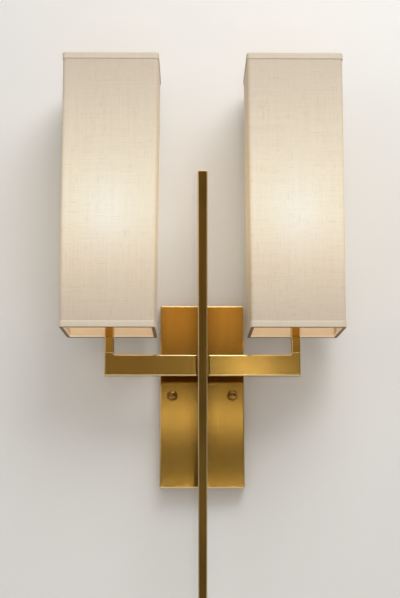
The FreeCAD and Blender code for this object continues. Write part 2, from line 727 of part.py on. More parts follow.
def make_lamp_holder(side, way):
    """Short pipe, turned cup, holder body, screw shell, centre contact and shade ring."""
    pipe = ring_up(
        f"holder_pipe_{side}",
        "small_pipe_diameter",
        "small_pipe_bore",
        "upright_top - bush_tall",
        "bush_tall + cup_wall + holder_grip",
    )
    cup = new_body(f"holder_cup_{side}")
    hole, rim = "(small_pipe_diameter / 2 + slip_fit)", "cup_diameter / 2"
    sketch = outline(
        sketch_on(cup, "XZ_Plane"),
        (hole, "upright_top"),
        (f"{rim} - cup_tall / 2", "upright_top"),
        (rim, "upright_top + cup_tall / 2", "cup_tall / 2", 1),
        (rim, "upright_top + cup_tall"),
        (f"{rim} - cup_wall", "upright_top + cup_tall"),
        (f"{rim} - cup_wall", "upright_top + cup_tall / 2"),
        (f"{rim} - cup_tall / 2", HOLDER_SEAT, "cup_tall / 2 - cup_wall", -1),
        (hole, HOLDER_SEAT),
        (hole, "upright_top"),
    )
    turn(cup, sketch)

    body = new_body(f"holder_body_{side}")
    base, flange = "holder_base_diameter / 2", "holder_flange_diameter / 2"
    thread = "holder_thread_diameter / 2"
    bore = "(small_pipe_diameter / 2 + thread_fit)"
    well = "(shell_inner_diameter / 2 + shell_wall + slip_fit)"
    under = f"{HOLDER_SEAT} + holder_foot_tall"
    foot = f"{base} - cup_tall / 2"
    sketch = outline(
        sketch_on(body, "XZ_Plane"),
        (bore, HOLDER_SEAT),
        (foot, HOLDER_SEAT),
        (base, f"{HOLDER_SEAT} + cup_tall / 2"),
        (base, under),
        (flange, under),
        (flange, FLANGE_TOP),
        (thread, FLANGE_TOP),
        (thread, HOLDER_TOP),
        (well, HOLDER_TOP),
        (well, HOLDER_FLOOR),
        ("small_pipe_bore / 2", HOLDER_FLOOR),
        ("small_pipe_bore / 2", f"{HOLDER_SEAT} + holder_grip"),
        (bore, f"{HOLDER_SEAT} + holder_grip"),
        (bore, HOLDER_SEAT),
    )
    turn(body, sketch)

    shell = new_body(f"screw_shell_{side}")
    inner, outer = "shell_inner_diameter / 2", "(shell_inner_diameter / 2 + shell_wall)"
    hole = "shell_floor_hole / 2"
    sketch = outline(
        sketch_on(shell, "XZ_Plane"),
        (hole, HOLDER_FLOOR),
        (outer, HOLDER_FLOOR),
        (outer, f"{HOLDER_TOP} - slip_fit"),
        (inner, f"{HOLDER_TOP} - slip_fit"),
        (inner, f"{HOLDER_FLOOR} + shell_wall"),
        (hole, f"{HOLDER_FLOOR} + shell_wall"),
        (hole, HOLDER_FLOOR),
    )
    turn(shell, sketch)

    contact = new_body(f"centre_contact_{side}")
    block = rectangle(sketch_on(contact, "XY_Plane", HOLDER_FLOOR), "contact_width", "contact_width")
    raise_solid(contact, block, f"{CONTACT_TOP} - {HOLDER_FLOOR}")
    below_tongue = rectangle(
        sketch_on(contact, "XZ_Plane", "-contact_width"),
        "contact_width",
        f"{CONTACT_TOP} - {HOLDER_FLOOR} - 2 * contact_thick",
        "contact_thick",
        f"({CONTACT_TOP} + {HOLDER_FLOOR}) / 2",
    )
    cut(contact, below_tongue, "2 * contact_width", along=True)

    ring = new_body(f"shade_ring_{side}")
    inner, outer, collar = "(holder_thread_diameter / 2 + thread_fit)", "ring_outer / 2", "ring_collar / 2"
    foot = f"({FLANGE_TOP} + washer_thick + thread_fit)"
    sketch = outline(
        sketch_on(ring, "XZ_Plane"),
        (inner, foot),
        (outer, foot),
        (outer, f"{foot} + ring_rim_tall"),
        (collar, f"{foot} + ring_rim_tall"),
        (collar, f"{foot} + ring_tall"),
        (inner, f"{foot} + ring_tall"),
        (inner, foot),
    )
    turn(ring, sketch)
    notch = circle(sketch_on(ring, "XY_Plane", f"{foot} + ring_rim_tall"), "ring_notch", outer)
    repeat_around(ring, cut(ring, notch, "ring_rim_tall"), "ring_notches")
    for piece in (pipe, cup, body, shell, contact, ring):
        place(piece, across=f"{way} * {SHADE_PLACE}", out="arm_axis")


# Bulb ----------------------------------------------------------------------------------------


def bulb_profile(neck, globe, shoulder):
    """Half outline of a bulb envelope from its neck to its top, as steps of an outline."""
    reach, drop = f"({neck} + {shoulder})", f"({globe} + {shoulder})"
    fall = f"sqrt({drop}^2 - {reach}^2)"
    join = (f"{globe} * {reach} / {drop}", f"{NECK_TOP} + {fall} - {globe} * {fall} / {drop}")
    top = ("0", f"{NECK_TOP} + {fall} + {globe}")
    return [(neck, BASE_TOP), (neck, NECK_TOP), (*join, shoulder, -1), (*top, globe, 1)]


def make_bulb(side, way):
    """Frosted globe bulb: hollow glass, screw base and bottom contact."""
    glass = new_body(f"bulb_glass_{side}")
    outside = bulb_profile("bulb_neck_radius", "bulb_diameter / 2", "bulb_shoulder")
    foot, neck, joint, tip = bulb_profile(
        "(bulb_neck_radius - glass_wall)", "(bulb_diameter / 2 - glass_wall)", "(bulb_shoulder + glass_wall)"
    )
    sketch = outline(
        sketch_on(glass, "XZ_Plane"),
        *outside,
        tip[:2],
        (*joint[:2], tip[2], -1),
        (*neck, joint[2], 1),
        foot,
        outside[0],
    )
    turn(glass, sketch)

    base = new_body(f"bulb_base_{side}")
    edge = "bulb_base_diameter / 2"
    sketch = outline(
        sketch_on(base, "XZ_Plane"),
        ("0", BASE_FOOT),
        ("bulb_tip_diameter / 2", BASE_FOOT),
        (edge, f"{BASE_FOOT} + bulb_base_cone"),
        (edge, BASE_TOP),
        ("0", BASE_TOP),
        ("0", BASE_FOOT),
    )
    turn(base, sketch)

    tip = new_body(f"bulb_tip_{side}")
    raise_solid(tip, circle(sketch_on(tip, "XY_Plane", BULB_FOOT), "bulb_tip_diameter"), "bulb_tip_tall")
    for piece in (glass, base, tip):
        place(piece, across=f"{way} * {SHADE_PLACE}", out="arm_axis")


# Shade ---------------------------------------------------------------------------------------


def across_at(low, top, height):
    """A shade dimension at a height, between its value at the bottom and at the top."""
    return f"({low} + ({top} - {low}) * (({height}) - shade_bottom) / shade_tall)"


def shade_span(height):
    """Width and depth of the shade at a height."""
    width = across_at("shade_low_width", "shade_top_width", height)
    deep = across_at("shade_low_deep", "shade_top_deep", height)
    return width, deep


def shade_section(body, height, inset, lift=None):
    """The shade's rounded rectangle at a height, drawn in by inset; it may be lifted to another height."""
    width, deep = shade_span(height)
    section = sketch_on(body, "XY_Plane", lift or height)
    shrink = f"2 * ({inset})"
    corner = f"shade_corner - ({inset})"
    return rounded_rectangle(section, f"{width} - {shrink}", f"{deep} - {shrink}", corner)


def make_skin(side):
    """Linen laminated on a hard lining: one thin, slightly flaring rectangular tube."""
    body = new_body(f"shade_skin_{side}")
    low, top = "(shade_bottom + trim_thick)", f"({SHADE_TOP} - trim_thick)"
    loft(body, shade_section(body, low, "0"), shade_section(body, top, "0"))
    inner = [shade_section(body, height, "skin_thick") for height in (low, top)]
    loft(body, *inner, kind="PartDesign::SubtractiveLoft")
    return body


def make_trim(side, name, edge, way):
    """Tape folded over the shade's edge: outer leg, cap over the wire, and short inner leg."""
    body = new_body(f"shade_{name}_trim_{side}")
    cap = f"({edge} + {way} * trim_thick)"
    outer_end = f"({edge} + {way} * trim_tall)"
    inner_end = f"({cap} + {way} * wire_diameter)"
    pocket = "(skin_thick + wire_diameter + 2 * slip_fit)"
    inwards = way == "1"
    pad = raise_solid(body, shade_section(body, edge, "-(trim_thick + slip_fit)"), "trim_tall")
    pad.Reversed = not inwards
    cut(body, shade_section(body, edge, f"{pocket} + trim_thick"), "trim_tall", along=inwards)
    channel = shade_section(body, edge, "-slip_fit", lift=cap)
    width, deep = shade_span(edge)
    inside = f"2 * {pocket}"
    rounded_rectangle(channel, f"{width} - {inside}", f"{deep} - {inside}", f"shade_corner - {pocket}")
    cut(body, channel, "trim_tall", along=inwards)
    above_inner_leg = sketch_on(body, "XY_Plane", inner_end)
    rounded_rectangle(above_inner_leg, f"{width} - 2 * skin_thick", f"{deep} - 2 * skin_thick", "skin_thick")
    cut(body, above_inner_leg, f"abs({outer_end} - {inner_end})", along=inwards)
    return body


def make_ring_wire(side, name, edge, way):
    """Steel wire bent to a rounded rectangle inside the shade's edge."""
    body = new_body(f"shade_{name}_wire_{side}")
    height = f"({edge} + {way} * (trim_thick + wire_diameter / 2))"
    inset = "(skin_thick + wire_diameter / 2 + slip_fit)"
    path = shade_section(body, height, inset)
    _, deep = shade_span(height)
    round_section = circle(sketch_on(body, "YZ_Plane"), "wire_diameter", f"{deep} / 2 - {inset}", height)
    pipe = body.newObject("PartDesign::AdditivePipe", "Pipe")
    pipe.Profile = round_section
    pipe.Spine = path
    pipe.Transition = "Transformed"
    body.Tip = pipe
    return body


def make_frame(side):
    """Four corner wires and the spider with the washer that drops over the lamp holder."""
    ribs = new_body(f"shade_corner_wires_{side}", several=True)
    reach = "(trim_thick + wire_diameter + slip_fit)"
    inset = "(shade_corner - (shade_corner - skin_thick - wire_diameter / 2 - slip_fit) * sqrt(1 / 2))"
    low, top = f"(shade_bottom + {reach})", f"({SHADE_TOP} - {reach})"
    corners = [(across, out) for across in ("-1", "1") for out in ("-1", "1")]

    def corner_place(across, out, height):
        width, deep = shade_span(height)
        return f"{across} * ({width} / 2 - {inset})", f"{out} * ({deep} / 2 - {inset})"

    for across, out in corners:
        ends = [
            circle(sketch_on(ribs, "XY_Plane", height), "wire_diameter", *corner_place(across, out, height))
            for height in (low, top)
        ]
        loft(ribs, *ends)

    disc = doc.addObject("Part::Cylinder", f"washer_disc_{side}")
    hole = doc.addObject("Part::Cylinder", f"washer_hole_{side}")
    bind(disc, "Radius", "washer_outer / 2")
    bind(hole, "Radius", "holder_thread_diameter / 2 + thread_fit")
    for part in (disc, hole):
        bind(part, "Height", "washer_thick")
        place(part, up=FLANGE_TOP)
    washer = doc.addObject("Part::Cut", f"washer_{side}")
    washer.Base = disc
    washer.Tool = hole
    spokes = []
    level = f"{FLANGE_TOP} + wire_diameter / 2"
    for across, out in corners:
        x, y = corner_place(across, out, level)
        spoke = doc.addObject("Part::Cylinder", f"spoke_{side}")
        bind(spoke, "Radius", "wire_diameter / 2")
        bind(spoke, "Height", f"sqrt(({x})^2 + ({y})^2) - wire_diameter / 2 - washer_outer / 2 + spoke_lap")
        way = Vector(value(x), value(y), 0).normalize()
        start = way * value("washer_outer / 2 - spoke_lap")
        start.z = value(level)
        spoke.Placement = Placement(start, Rotation(Vector(0, 0, 1), way))
        spokes.append(spoke)
    spider = doc.addObject("Part::MultiFuse", f"spider_{side}")
    spider.Shapes = [washer, *spokes]
    keep(spider, f"shade_spider_{side}")
    return [ribs, spider]


def make_shade(side, way):
    """One complete shade about its own upright axis, then moved over its arm."""
    parts = [make_skin(side)]
    for name, edge, inward in (("top", SHADE_TOP, "-1"), ("bottom", "shade_bottom", "1")):
        parts.append(make_trim(side, name, edge, inward))
        parts.append(make_ring_wire(side, name, edge, inward))
    parts.extend(make_frame(side))
    for piece in parts:
        place(piece, across=f"{way} * {SHADE_PLACE}", out="arm_axis")


def check_and_write():
    """Stop on any failed feature or bad shape, then write one file for each piece."""
    doc.recompute()
    failed = [item.Label for item in doc.Objects if {"Invalid", "Error"} & set(item.State)]
    bad = [piece.Label for piece in pieces if piece.Shape.isNull() or not piece.Shape.isValid()]
    if failed or bad:
        raise ValueError(f"failed features: {failed}; bad shapes: {bad}")
    os.makedirs("parts", exist_ok=True)
    for piece in pieces:
        piece.Shape.exportStep(f"parts/{piece.Label}.step")
    print(len(pieces), "pieces written")


make_box_bar()
make_stud_bar()
make_strap_bush()
make_studs()
make_back_plate()
make_standoff()
make_hub()
make_bar()
make_arms()
for side, way in (("left", "-1"), ("right", "1")):
    make_ball_nut(side, way)
    make_upright(side, way)
    make_lamp_holder(side, way)
    make_bulb(side, way)
    make_shade(side, way)
check_and_write()
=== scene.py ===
"""Looks of the double arm wall sconce: satin brass, glowing linen shades and what is in them.

Everything is in metres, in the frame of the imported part: the wall is the plane Y = 0, the fixture
stands out from it towards -Y, and +Z is up.
"""

import logging
import math
from collections.abc import Callable, Sequence
from dataclasses import dataclass, field
from enum import Enum
from typing import ClassVar

import bpy
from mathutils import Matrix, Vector, noise


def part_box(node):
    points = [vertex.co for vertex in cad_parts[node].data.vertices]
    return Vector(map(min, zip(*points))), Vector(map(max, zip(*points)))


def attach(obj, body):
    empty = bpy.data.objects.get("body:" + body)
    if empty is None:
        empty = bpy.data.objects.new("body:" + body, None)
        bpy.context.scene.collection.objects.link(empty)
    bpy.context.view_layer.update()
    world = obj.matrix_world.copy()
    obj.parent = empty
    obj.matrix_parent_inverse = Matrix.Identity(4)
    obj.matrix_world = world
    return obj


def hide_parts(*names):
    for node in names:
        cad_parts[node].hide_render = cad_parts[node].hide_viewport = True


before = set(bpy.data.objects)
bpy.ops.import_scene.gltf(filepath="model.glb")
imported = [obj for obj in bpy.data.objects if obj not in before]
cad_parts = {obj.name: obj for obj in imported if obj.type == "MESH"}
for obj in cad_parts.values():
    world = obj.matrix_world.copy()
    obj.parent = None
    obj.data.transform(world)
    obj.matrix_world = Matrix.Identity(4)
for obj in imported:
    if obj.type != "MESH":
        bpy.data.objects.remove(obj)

log = logging.getLogger("sconce")

Pair = tuple[float, float]
Colour = tuple[float, float, float]
Point = tuple[float, float, float]
Ring = list[Vector]
Socket = bpy.types.NodeSocket
Material = bpy.types.Material

MM = 0.001
TURN = 2 * math.pi
QUARTER = math.pi / 2
WHITE: Colour = (1.0, 1.0, 1.0)

# Spans of a cloud's values: nearly all of them, and from below its middle to its highest ones.
MOST: Pair = (0.3, 0.7)
UPPER: Pair = (0.35, 0.75)


class Side(Enum):
    """The two halves of the fixture, with the sign of their X."""

    LEFT = -1
    RIGHT = 1

    @property
    def word(self) -> str:
        """The side's name as the nodes end with it."""
        return self.name.lower()


class Grain(Enum):
    """The way that a brushed face was rubbed, with its unit vector."""

    ACROSS = (1.0, 0.0, 0.0)
    UPRIGHT = (0.0, 0.0, 1.0)

    @property
    def blur(self) -> Point:
        """The direction in which the grooves spread a reflection."""
        x, _, z = self.value
        return (z, 0.0, x)

    def drawn(self, along: float, across: float) -> list[float]:
        """Repeats per metre on each axis, for marks that run with the grain."""
        return [along if part else across for part in self.value]


class Edge(Enum):
    """The two hemmed edges of a shade, with the way from the edge into the shade."""

    BOTTOM = 1
    TOP = -1

    @property
    def word(self) -> str:
        """The edge's name as the nodes hold it."""
        return self.name.lower()


class TapePart(Enum):
    """The parts of a hem's tape, with the place of their finish among the hem's finishes."""

    OUTER_LEG = 0
    # Painted shade on the bottom hem's underside.
    UNDERSIDE = 1
    INNER_LEG = 2
    # A painted highlight along the tape's folded edge.
    BORDER = 3


# Building a material ------------------------------------------------------------------------


class Recipe:
    """A material's node tree while it is put together around one Principled shader."""

    # The Mix node's places for two colours and their mixture, past its sockets for other values.
    FIRST, SECOND, MIXED = 6, 7, 2
    # The largest part of a rounded normal where a square-cut piece is flat, and where an edge is.
    FLAT_TO_EDGE: Pair = (0.99, 0.90)

    def __init__(self, name: str) -> None:
        """Start an empty tree.

        Args:
            name: the material's name.
        """
        self.material = bpy.data.materials.new(name)
        self.material.use_nodes = True
        self.tree = self.material.node_tree
        self.shader = self.tree.nodes["Principled BSDF"]
        where = self.tree.nodes.new("ShaderNodeTexCoord")
        self.place = where.outputs["Object"]
        self.facing = where.outputs["Normal"]

    def feed(self, target: Socket, source: Socket | float | Sequence[float]) -> None:
        """Link a socket to another one, or set its own number.

        Args:
            target: the input to fill.
            source: an output, or the value to set.
        """
        if isinstance(source, bpy.types.NodeSocket):
            self.tree.links.new(source, target)
        elif isinstance(source, (int, float)):
            target.default_value = source
        else:
            size = len(target.default_value)
            target.default_value = (*source, 1.0)[:size]

    def set(self, **sources: Socket | float | Sequence[float]) -> None:
        """Link or set sockets of the shader; an underscore stands for a space.

        Args:
            sources: socket names, and the outputs that drive them or their values.
        """
        for word, source in sources.items():
            self.feed(self.shader.inputs[word.replace("_", " ")], source)

    def maths(self, operation: str, *values: Socket | float, clamp: bool = False) -> Socket:
        """One Math node.

        Args:
            operation: Blender's name of the operation.
            values: its inputs in order.
            clamp: whether to keep the result between 0 and 1.

        Returns:
            The node's output.
        """
        node = self.tree.nodes.new("ShaderNodeMath")
        node.operation = operation
        node.use_clamp = clamp
        for target, source in zip(node.inputs, values):
            self.feed(target, source)
        return node.outputs[0]

    def squared(self, value: Socket) -> Socket:
        """A value times itself."""
        return self.maths("MULTIPLY", value, value)

    def bell(self, share: Socket) -> Socket:
        """A bell curve of a distance in units of its spread."""
        return self.maths("EXPONENT", self.maths("MULTIPLY", self.squared(share), -0.5))

    def split(self, vector: Socket) -> tuple[Socket, Socket, Socket]:
        """Take a vector apart.

        Args:
            vector: the vector.

        Returns:
            Its X, Y and Z.
        """
        node = self.tree.nodes.new("ShaderNodeSeparateXYZ")
        self.feed(node.inputs[0], vector)
        return tuple(node.outputs)

    def join(self, *values: Socket | float) -> Socket:
        """Put a vector together.

        Args:
            values: its three parts.

        Returns:
            The vector.
        """
        node = self.tree.nodes.new("ShaderNodeCombineXYZ")
        for target, source in zip(node.inputs, values):
            self.feed(target, source)
        return node.outputs[0]

    def cloud(
        self, scale: Sequence[float], detail: float = 2.0, vector: Socket | None = None
    ) -> Socket:
        """Noise between 0 and 1, drawn out axis by axis.

        Args:
            scale: repeats per metre along each axis.
            detail: how many finer octaves it has.
            vector: the coordinates, or the object's own.

        Returns:
            The noise value.
        """
        mapping = self.tree.nodes.new("ShaderNodeMapping")
        self.feed(mapping.inputs["Vector"], vector or self.place)
        self.feed(mapping.inputs["Scale"], scale)
        node = self.tree.nodes.new("ShaderNodeTexNoise")
        self.feed(node.inputs["Vector"], mapping.outputs[0])
        self.feed(node.inputs["Scale"], 1.0)
        self.feed(node.inputs["Detail"], detail)
        return node.outputs["Fac"]

    def remap(self, source: Socket, span: Pair, result: Pair = (0.0, 1.0)) -> Socket:
        """Spread a value's range to another one, clamped at its ends.

        Args:
            source: the value.
            span: the values that become the result's start and end.
            result: its start and end.

        Returns:
            The spread value.
        """
        node = self.tree.nodes.new("ShaderNodeMapRange")
        for target, given in zip(node.inputs, (source, *span, *result)):
            self.feed(target, given)
        return node.outputs[0]

    def wander(self, source: Socket, middle: float, below: float, above: float) -> Socket:
        """A value that goes below and above a middle as a cloud does."""
        return self.remap(source, MOST, (middle - below, middle + above))

    def blend(
        self,
        share: Socket | float,
        first: Socket | Colour,
        second: Socket | Colour,
        kind: str = "MIX",
    ) -> Socket:
        """Mix two colours.

        Args:
            share: how much of the second one, from 0 to 1.
            first: the first colour.
            second: the second colour.
            kind: Blender's name of the blend.

        Returns:
            The mixed colour.
        """
        node = self.tree.nodes.new("ShaderNodeMix")
        node.data_type = "RGBA"
        node.blend_type = kind
        self.feed(node.inputs["Factor"], share)
        self.feed(node.inputs[self.FIRST], first)
        self.feed(node.inputs[self.SECOND], second)
        return node.outputs[self.MIXED]

    def scaled(self, value: Socket, colour: Socket | Colour) -> Socket:
        """A colour times a value."""
        return self.blend(1.0, self.join(value, value, value), colour, "MULTIPLY")

    def bump(
        self, height: Socket, depth: float, strength: float = 1.0, normal: Socket | None = None
    ) -> None:
        """Raise the shader's surface by a height.

        Args:
            height: a value between 0 and 1.
            depth: the real height of 1, in metres.
            strength: how strongly it turns the normals.
            normal: the surface to start from, where it isn't the mesh's own.
        """
        node = self.tree.nodes.new("ShaderNodeBump")
        if normal:
            self.feed(node.inputs["Normal"], normal)
        self.feed(node.inputs["Height"], height)
        self.feed(node.inputs["Distance"], depth)
        self.feed(node.inputs["Strength"], strength)
        self.set(Normal=node.outputs[0])

    def softened(self, radius: float, samples: int = 6) -> tuple[Socket, Socket]:
        """Round the edges that the mesh leaves sharp, and find every edge of a square-cut piece.

        Args:
            radius: the radius of the rounding, in metres.
            samples: how many rays look for an edge.

        Returns:
            The rounded normal, and how much a point belongs to an edge, from 0 to 1.
        """
        bevel = self.tree.nodes.new("ShaderNodeBevel")
        bevel.samples = samples
        self.feed(bevel.inputs["Radius"], radius)
        x, y, z = (self.maths("ABSOLUTE", part) for part in self.split(bevel.outputs[0]))
        squarest = self.maths("MAXIMUM", x, self.maths("MAXIMUM", y, z))
        return bevel.outputs[0], self.remap(squarest, self.FLAT_TO_EDGE)


# Finishes -----------------------------------------------------------------------------------


@dataclass(frozen=True)
class SatinBrass:
    """Brass rubbed one way with fine abrasive, then lacquered; edges are brighter with wear and a
    painted highlight.

    Grooves and wide streaks are given as repeats per metre along and across the grain, and tarnish
    as repeats per metre on each axis.
    """

    name: str
    grain: Grain
    tint: Colour = (0.50, 0.292, 0.060)
    deep: Colour = (0.45, 0.240, 0.042)
    rubbed_and_highlight: Colour = (0.95, 0.76, 0.40)
    roughness: float = 0.22
    spread: float = 0.95
    groove: float = 2e-6
    streak: float = 0.65
    edge: float = 0.7 * MM
    rubbed_and_highlight_share: float = 0.85
    polish: float = 0.06
    grooves: Pair = (5.0, 2000.0)
    streaks: Pair = (2.5, 250.0)
    tarnish: Point = (14.0, 14.0, 9.0)

    def make(self) -> Material:
        """Build the material.

        Returns:
            The brushed brass.
        """
        recipe = Recipe(self.name)
        fine = recipe.cloud(self.grain.drawn(*self.grooves), detail=3.0)
        wide = recipe.cloud(self.grain.drawn(*self.streaks), detail=3.0)
        tarnish = recipe.cloud(self.tarnish, detail=4.0)
        colour = recipe.blend(recipe.remap(tarnish, MOST), self.deep, self.tint)
        colour = recipe.blend(recipe.remap(wide, UPPER, (0.0, self.streak)), colour, self.deep)
        normal, edge = recipe.softened(self.edge)
        # Every edge turns towards the bright colour: partly rubbed wear, partly a painted
        # highlight.
        colour = recipe.blend(recipe.maths("MULTIPLY", edge, self.rubbed_and_highlight_share), colour, self.rubbed_and_highlight)
        rough = recipe.wander(fine, self.roughness, below=0.03, above=0.05)
        rough = recipe.maths("SUBTRACT", rough, recipe.maths("MULTIPLY", edge, self.polish))
        recipe.set(Base_Color=colour, Roughness=rough, Tangent=recipe.join(*self.grain.blur))
        recipe.set(Metallic=1.0, Anisotropic=self.spread)
        recipe.bump(fine, self.groove, normal=normal)
        return recipe.material


@dataclass(frozen=True)
class TurnedMetal:
    """Plain metal as it comes off the lathe or out of plating, with faint stains."""

    name: str
    tint: Colour
    stain: Colour
    roughness: float
    lathe: float = 900.0
    groove: float = 1.2e-5

    def make(self) -> Material:
        """Build the material.

        Returns:
            The turned or plated metal.
        """
        recipe = Recipe(self.name)
        rings = recipe.cloud((self.lathe / 20, self.lathe / 20, self.lathe))
        blotch = recipe.cloud((60.0, 60.0, 60.0), detail=4.0)
        recipe.set(
            Base_Color=recipe.blend(recipe.remap(blotch, UPPER), self.tint, self.stain),
            Roughness=recipe.wander(rings, self.roughness, below=0.06, above=0.1),
            Metallic=1.0,
        )
        recipe.bump(rings, self.groove)
        return recipe.material


@dataclass(frozen=True)
class Glow:
    """The lamp's light through a shade, painted as the cloth's own emission: a broad warm field and
    a whiter painted spot beside the bulb.

    The field spreads by rise upwards and by fall downwards. In front it takes the colour of low at
    the depth settle; the side faces take sides, painted darker and warmer than the front. The spot
    spreads by spot_reach on a wall at the distance face.
    """

    centre: Point
    broad: Colour
    sides: Colour
    low: Colour
    spot: Colour
    rise: float = 0.125
    fall: float = 0.090
    settle: float = -0.08
    spot_reach: float = 0.040
    face: float = 0.0525

    def light(self, recipe: Recipe) -> Socket:
        """The light that leaves the cloth at each point.

        Args:
            recipe: the material that glows.

        Returns:
            A colour for the emission.
        """
        parts = zip(recipe.split(recipe.place), self.centre)
        x, y, z = (recipe.maths("SUBTRACT", part, own) for part, own in parts)
        up = recipe.maths("GREATER_THAN", z, 0.0)
        reach = recipe.maths("MULTIPLY_ADD", up, self.rise - self.fall, self.fall)
        field_of_light = recipe.bell(recipe.maths("DIVIDE", z, reach))
        aside = recipe.maths("SQRT", recipe.maths("ADD", recipe.squared(x), recipe.squared(y)))
        past = recipe.maths("SUBTRACT", aside, self.face)
        past = recipe.maths("MULTIPLY", past, 4 * self.face)
        far = recipe.maths("ABSOLUTE", recipe.maths("ADD", recipe.squared(z), past))
        middle = recipe.bell(recipe.maths("DIVIDE", recipe.maths("SQRT", far), self.spot_reach))
        _, out, _ = recipe.split(recipe.facing)
        front = recipe.blend(recipe.remap(z, (0.0, self.settle)), self.broad, self.low)
        warm = recipe.blend(recipe.squared(out), self.sides, front)
        warm = recipe.scaled(field_of_light, warm)
        return recipe.blend(1.0, warm, recipe.scaled(middle, self.spot), "ADD")


@dataclass(frozen=True)
class Linen:
    """Plain weave linen with slubs both ways; the lamp's light through it is painted as its
    emission.

    Slubs and thick ends are given as repeats per metre along and across their thread. Each kind of
    mark darkens the cloth by its own share, and the light through it by shading. The threads sway
    by an angle, and the heights are shares of the relief.
    """

    name: str
    glow: Glow
    tint: Colour = (0.565, 0.478, 0.392)
    shadow: Colour = (0.44, 0.35, 0.26)
    light_shadow: Colour = (0.62, 0.5, 0.36)
    thread: float = 0.0008
    slub_share: float = 1.0
    slubs: Pair = (52.0, 640.0)
    slub_span: Pair = (0.60, 0.74)
    slub_dark: float = 0.55
    ends: Pair = (9.0, 420.0)
    end_span: Pair = (0.85, 1.3)
    end_dark: float = 0.22
    weave_dark: float = 0.10
    shading: float = 0.55
    sway: float = 1.5
    sway_repeats: Point = (70.0, 1.0, 70.0)
    slub_height: float = 0.7
    weave_height: float = 0.3
    relief: float = 0.12 * MM

    def make(self) -> Material:
        """Build the material.

        Returns:
            The glowing linen.
        """
        recipe = Recipe(self.name)
        x, y, z = recipe.split(recipe.place)
        cloth = recipe.join(recipe.maths("ADD", x, y), 0.0, z)
        sway = recipe.maths("MULTIPLY", recipe.cloud(self.sway_repeats, vector=cloth), self.sway)
        along, _, up = recipe.split(cloth)
        waves = (recipe.maths("MULTIPLY_ADD", way, TURN / self.thread, sway) for way in (along, up))
        warp, weft = (recipe.maths("SINE", wave) for wave in waves)
        weave = recipe.maths("MULTIPLY_ADD", recipe.maths("MULTIPLY", warp, weft), 0.5, 0.5)
        marks = self.threads(recipe, cloth, self.slubs)
        slubs = recipe.maths("MAXIMUM", *(recipe.remap(mark, self.slub_span) for mark in marks))
        ends = recipe.maths("ADD", *self.threads(recipe, cloth, self.ends))
        dark = recipe.maths("MULTIPLY", weave, self.weave_dark)
        dark = recipe.maths("MULTIPLY_ADD", slubs, self.slub_dark * self.slub_share, dark)
        dark = recipe.maths("ADD", dark, recipe.remap(ends, self.end_span, (0.0, self.end_dark)))
        dimmed = recipe.maths("MULTIPLY", dark, self.shading, clamp=True)
        through = recipe.blend(dimmed, WHITE, self.light_shadow)
        lit = recipe.blend(1.0, self.glow.light(recipe), through, "MULTIPLY")
        recipe.set(Base_Color=recipe.blend(dark, self.tint, self.shadow), Emission_Color=lit)
        recipe.set(Roughness=0.92, Emission_Strength=1.0, Sheen_Weight=0.15, Sheen_Roughness=0.5)
        raised = recipe.maths("MULTIPLY", weave, self.weave_height)
        raised = recipe.maths("MULTIPLY_ADD", slubs, self.slub_height, raised)
        recipe.bump(raised, self.relief, strength=0.6)
        return recipe.material

    @staticmethod
    def threads(recipe: Recipe, cloth: Socket, repeats: Pair) -> tuple[Socket, Socket]:
        """Clouds drawn out along the level threads, and along the upright ones.

        Args:
            recipe: the material.
            cloth: the coordinates on the cloth.
            repeats: the repeats per metre along and across a thread.

        Returns:
            Both clouds.
        """
        along, across = repeats
        level = recipe.cloud((along, 1.0, across), vector=cloth)
        return level, recipe.cloud((across, 1.0, along), vector=cloth)


@dataclass(frozen=True)
class Lining:
    """The smooth plastic sheet behind the linen; the lamp's light on it is painted as its emission.
    """

    name: str
    glow: Glow
    tint: Colour = (0.80, 0.72, 0.60)
    yellowed: Colour = (0.74, 0.63, 0.48)
    mottle: float = 0.25

    def make(self) -> Material:
        """Build the material.

        Returns:
            The lining.
        """
        recipe = Recipe(self.name)
        mottle = recipe.cloud((30.0, 30.0, 30.0), detail=3.0)
        mottle = recipe.remap(mottle, MOST, (0.0, self.mottle))
        recipe.set(Base_Color=recipe.blend(mottle, self.tint, self.yellowed))
        recipe.set(Emission_Color=self.glow.light(recipe), Emission_Strength=1.0, Roughness=0.55)
        recipe.bump(recipe.cloud((1200.0, 1200.0, 1200.0)), 0.01 * MM)
        return recipe.material


@dataclass(frozen=True)
class Coating:
    """An opaque paint, enamel or moulded plastic with a slightly uneven skin."""

    name: str
    tint: Colour
    fleck: Colour
    roughness: float
    coat: float = 0.0
    fleck_span: Pair = (0.5, 0.75)

    def make(self) -> Material:
        """Build the material.

        Returns:
            The coating.
        """
        recipe = Recipe(self.name)
        peel = recipe.cloud((700.0, 700.0, 700.0))
        flecks = recipe.remap(recipe.cloud((320.0, 320.0, 320.0), detail=4.0), self.fleck_span)
        recipe.set(
            Base_Color=recipe.blend(flecks, self.tint, self.fleck),
            Roughness=recipe.wander(peel, self.roughness, below=0.05, above=0.08),
            Coat_Weight=self.coat,
            Coat_Roughness=0.1,
        )
        recipe.bump(peel, 0.02 * MM)
        return recipe.material


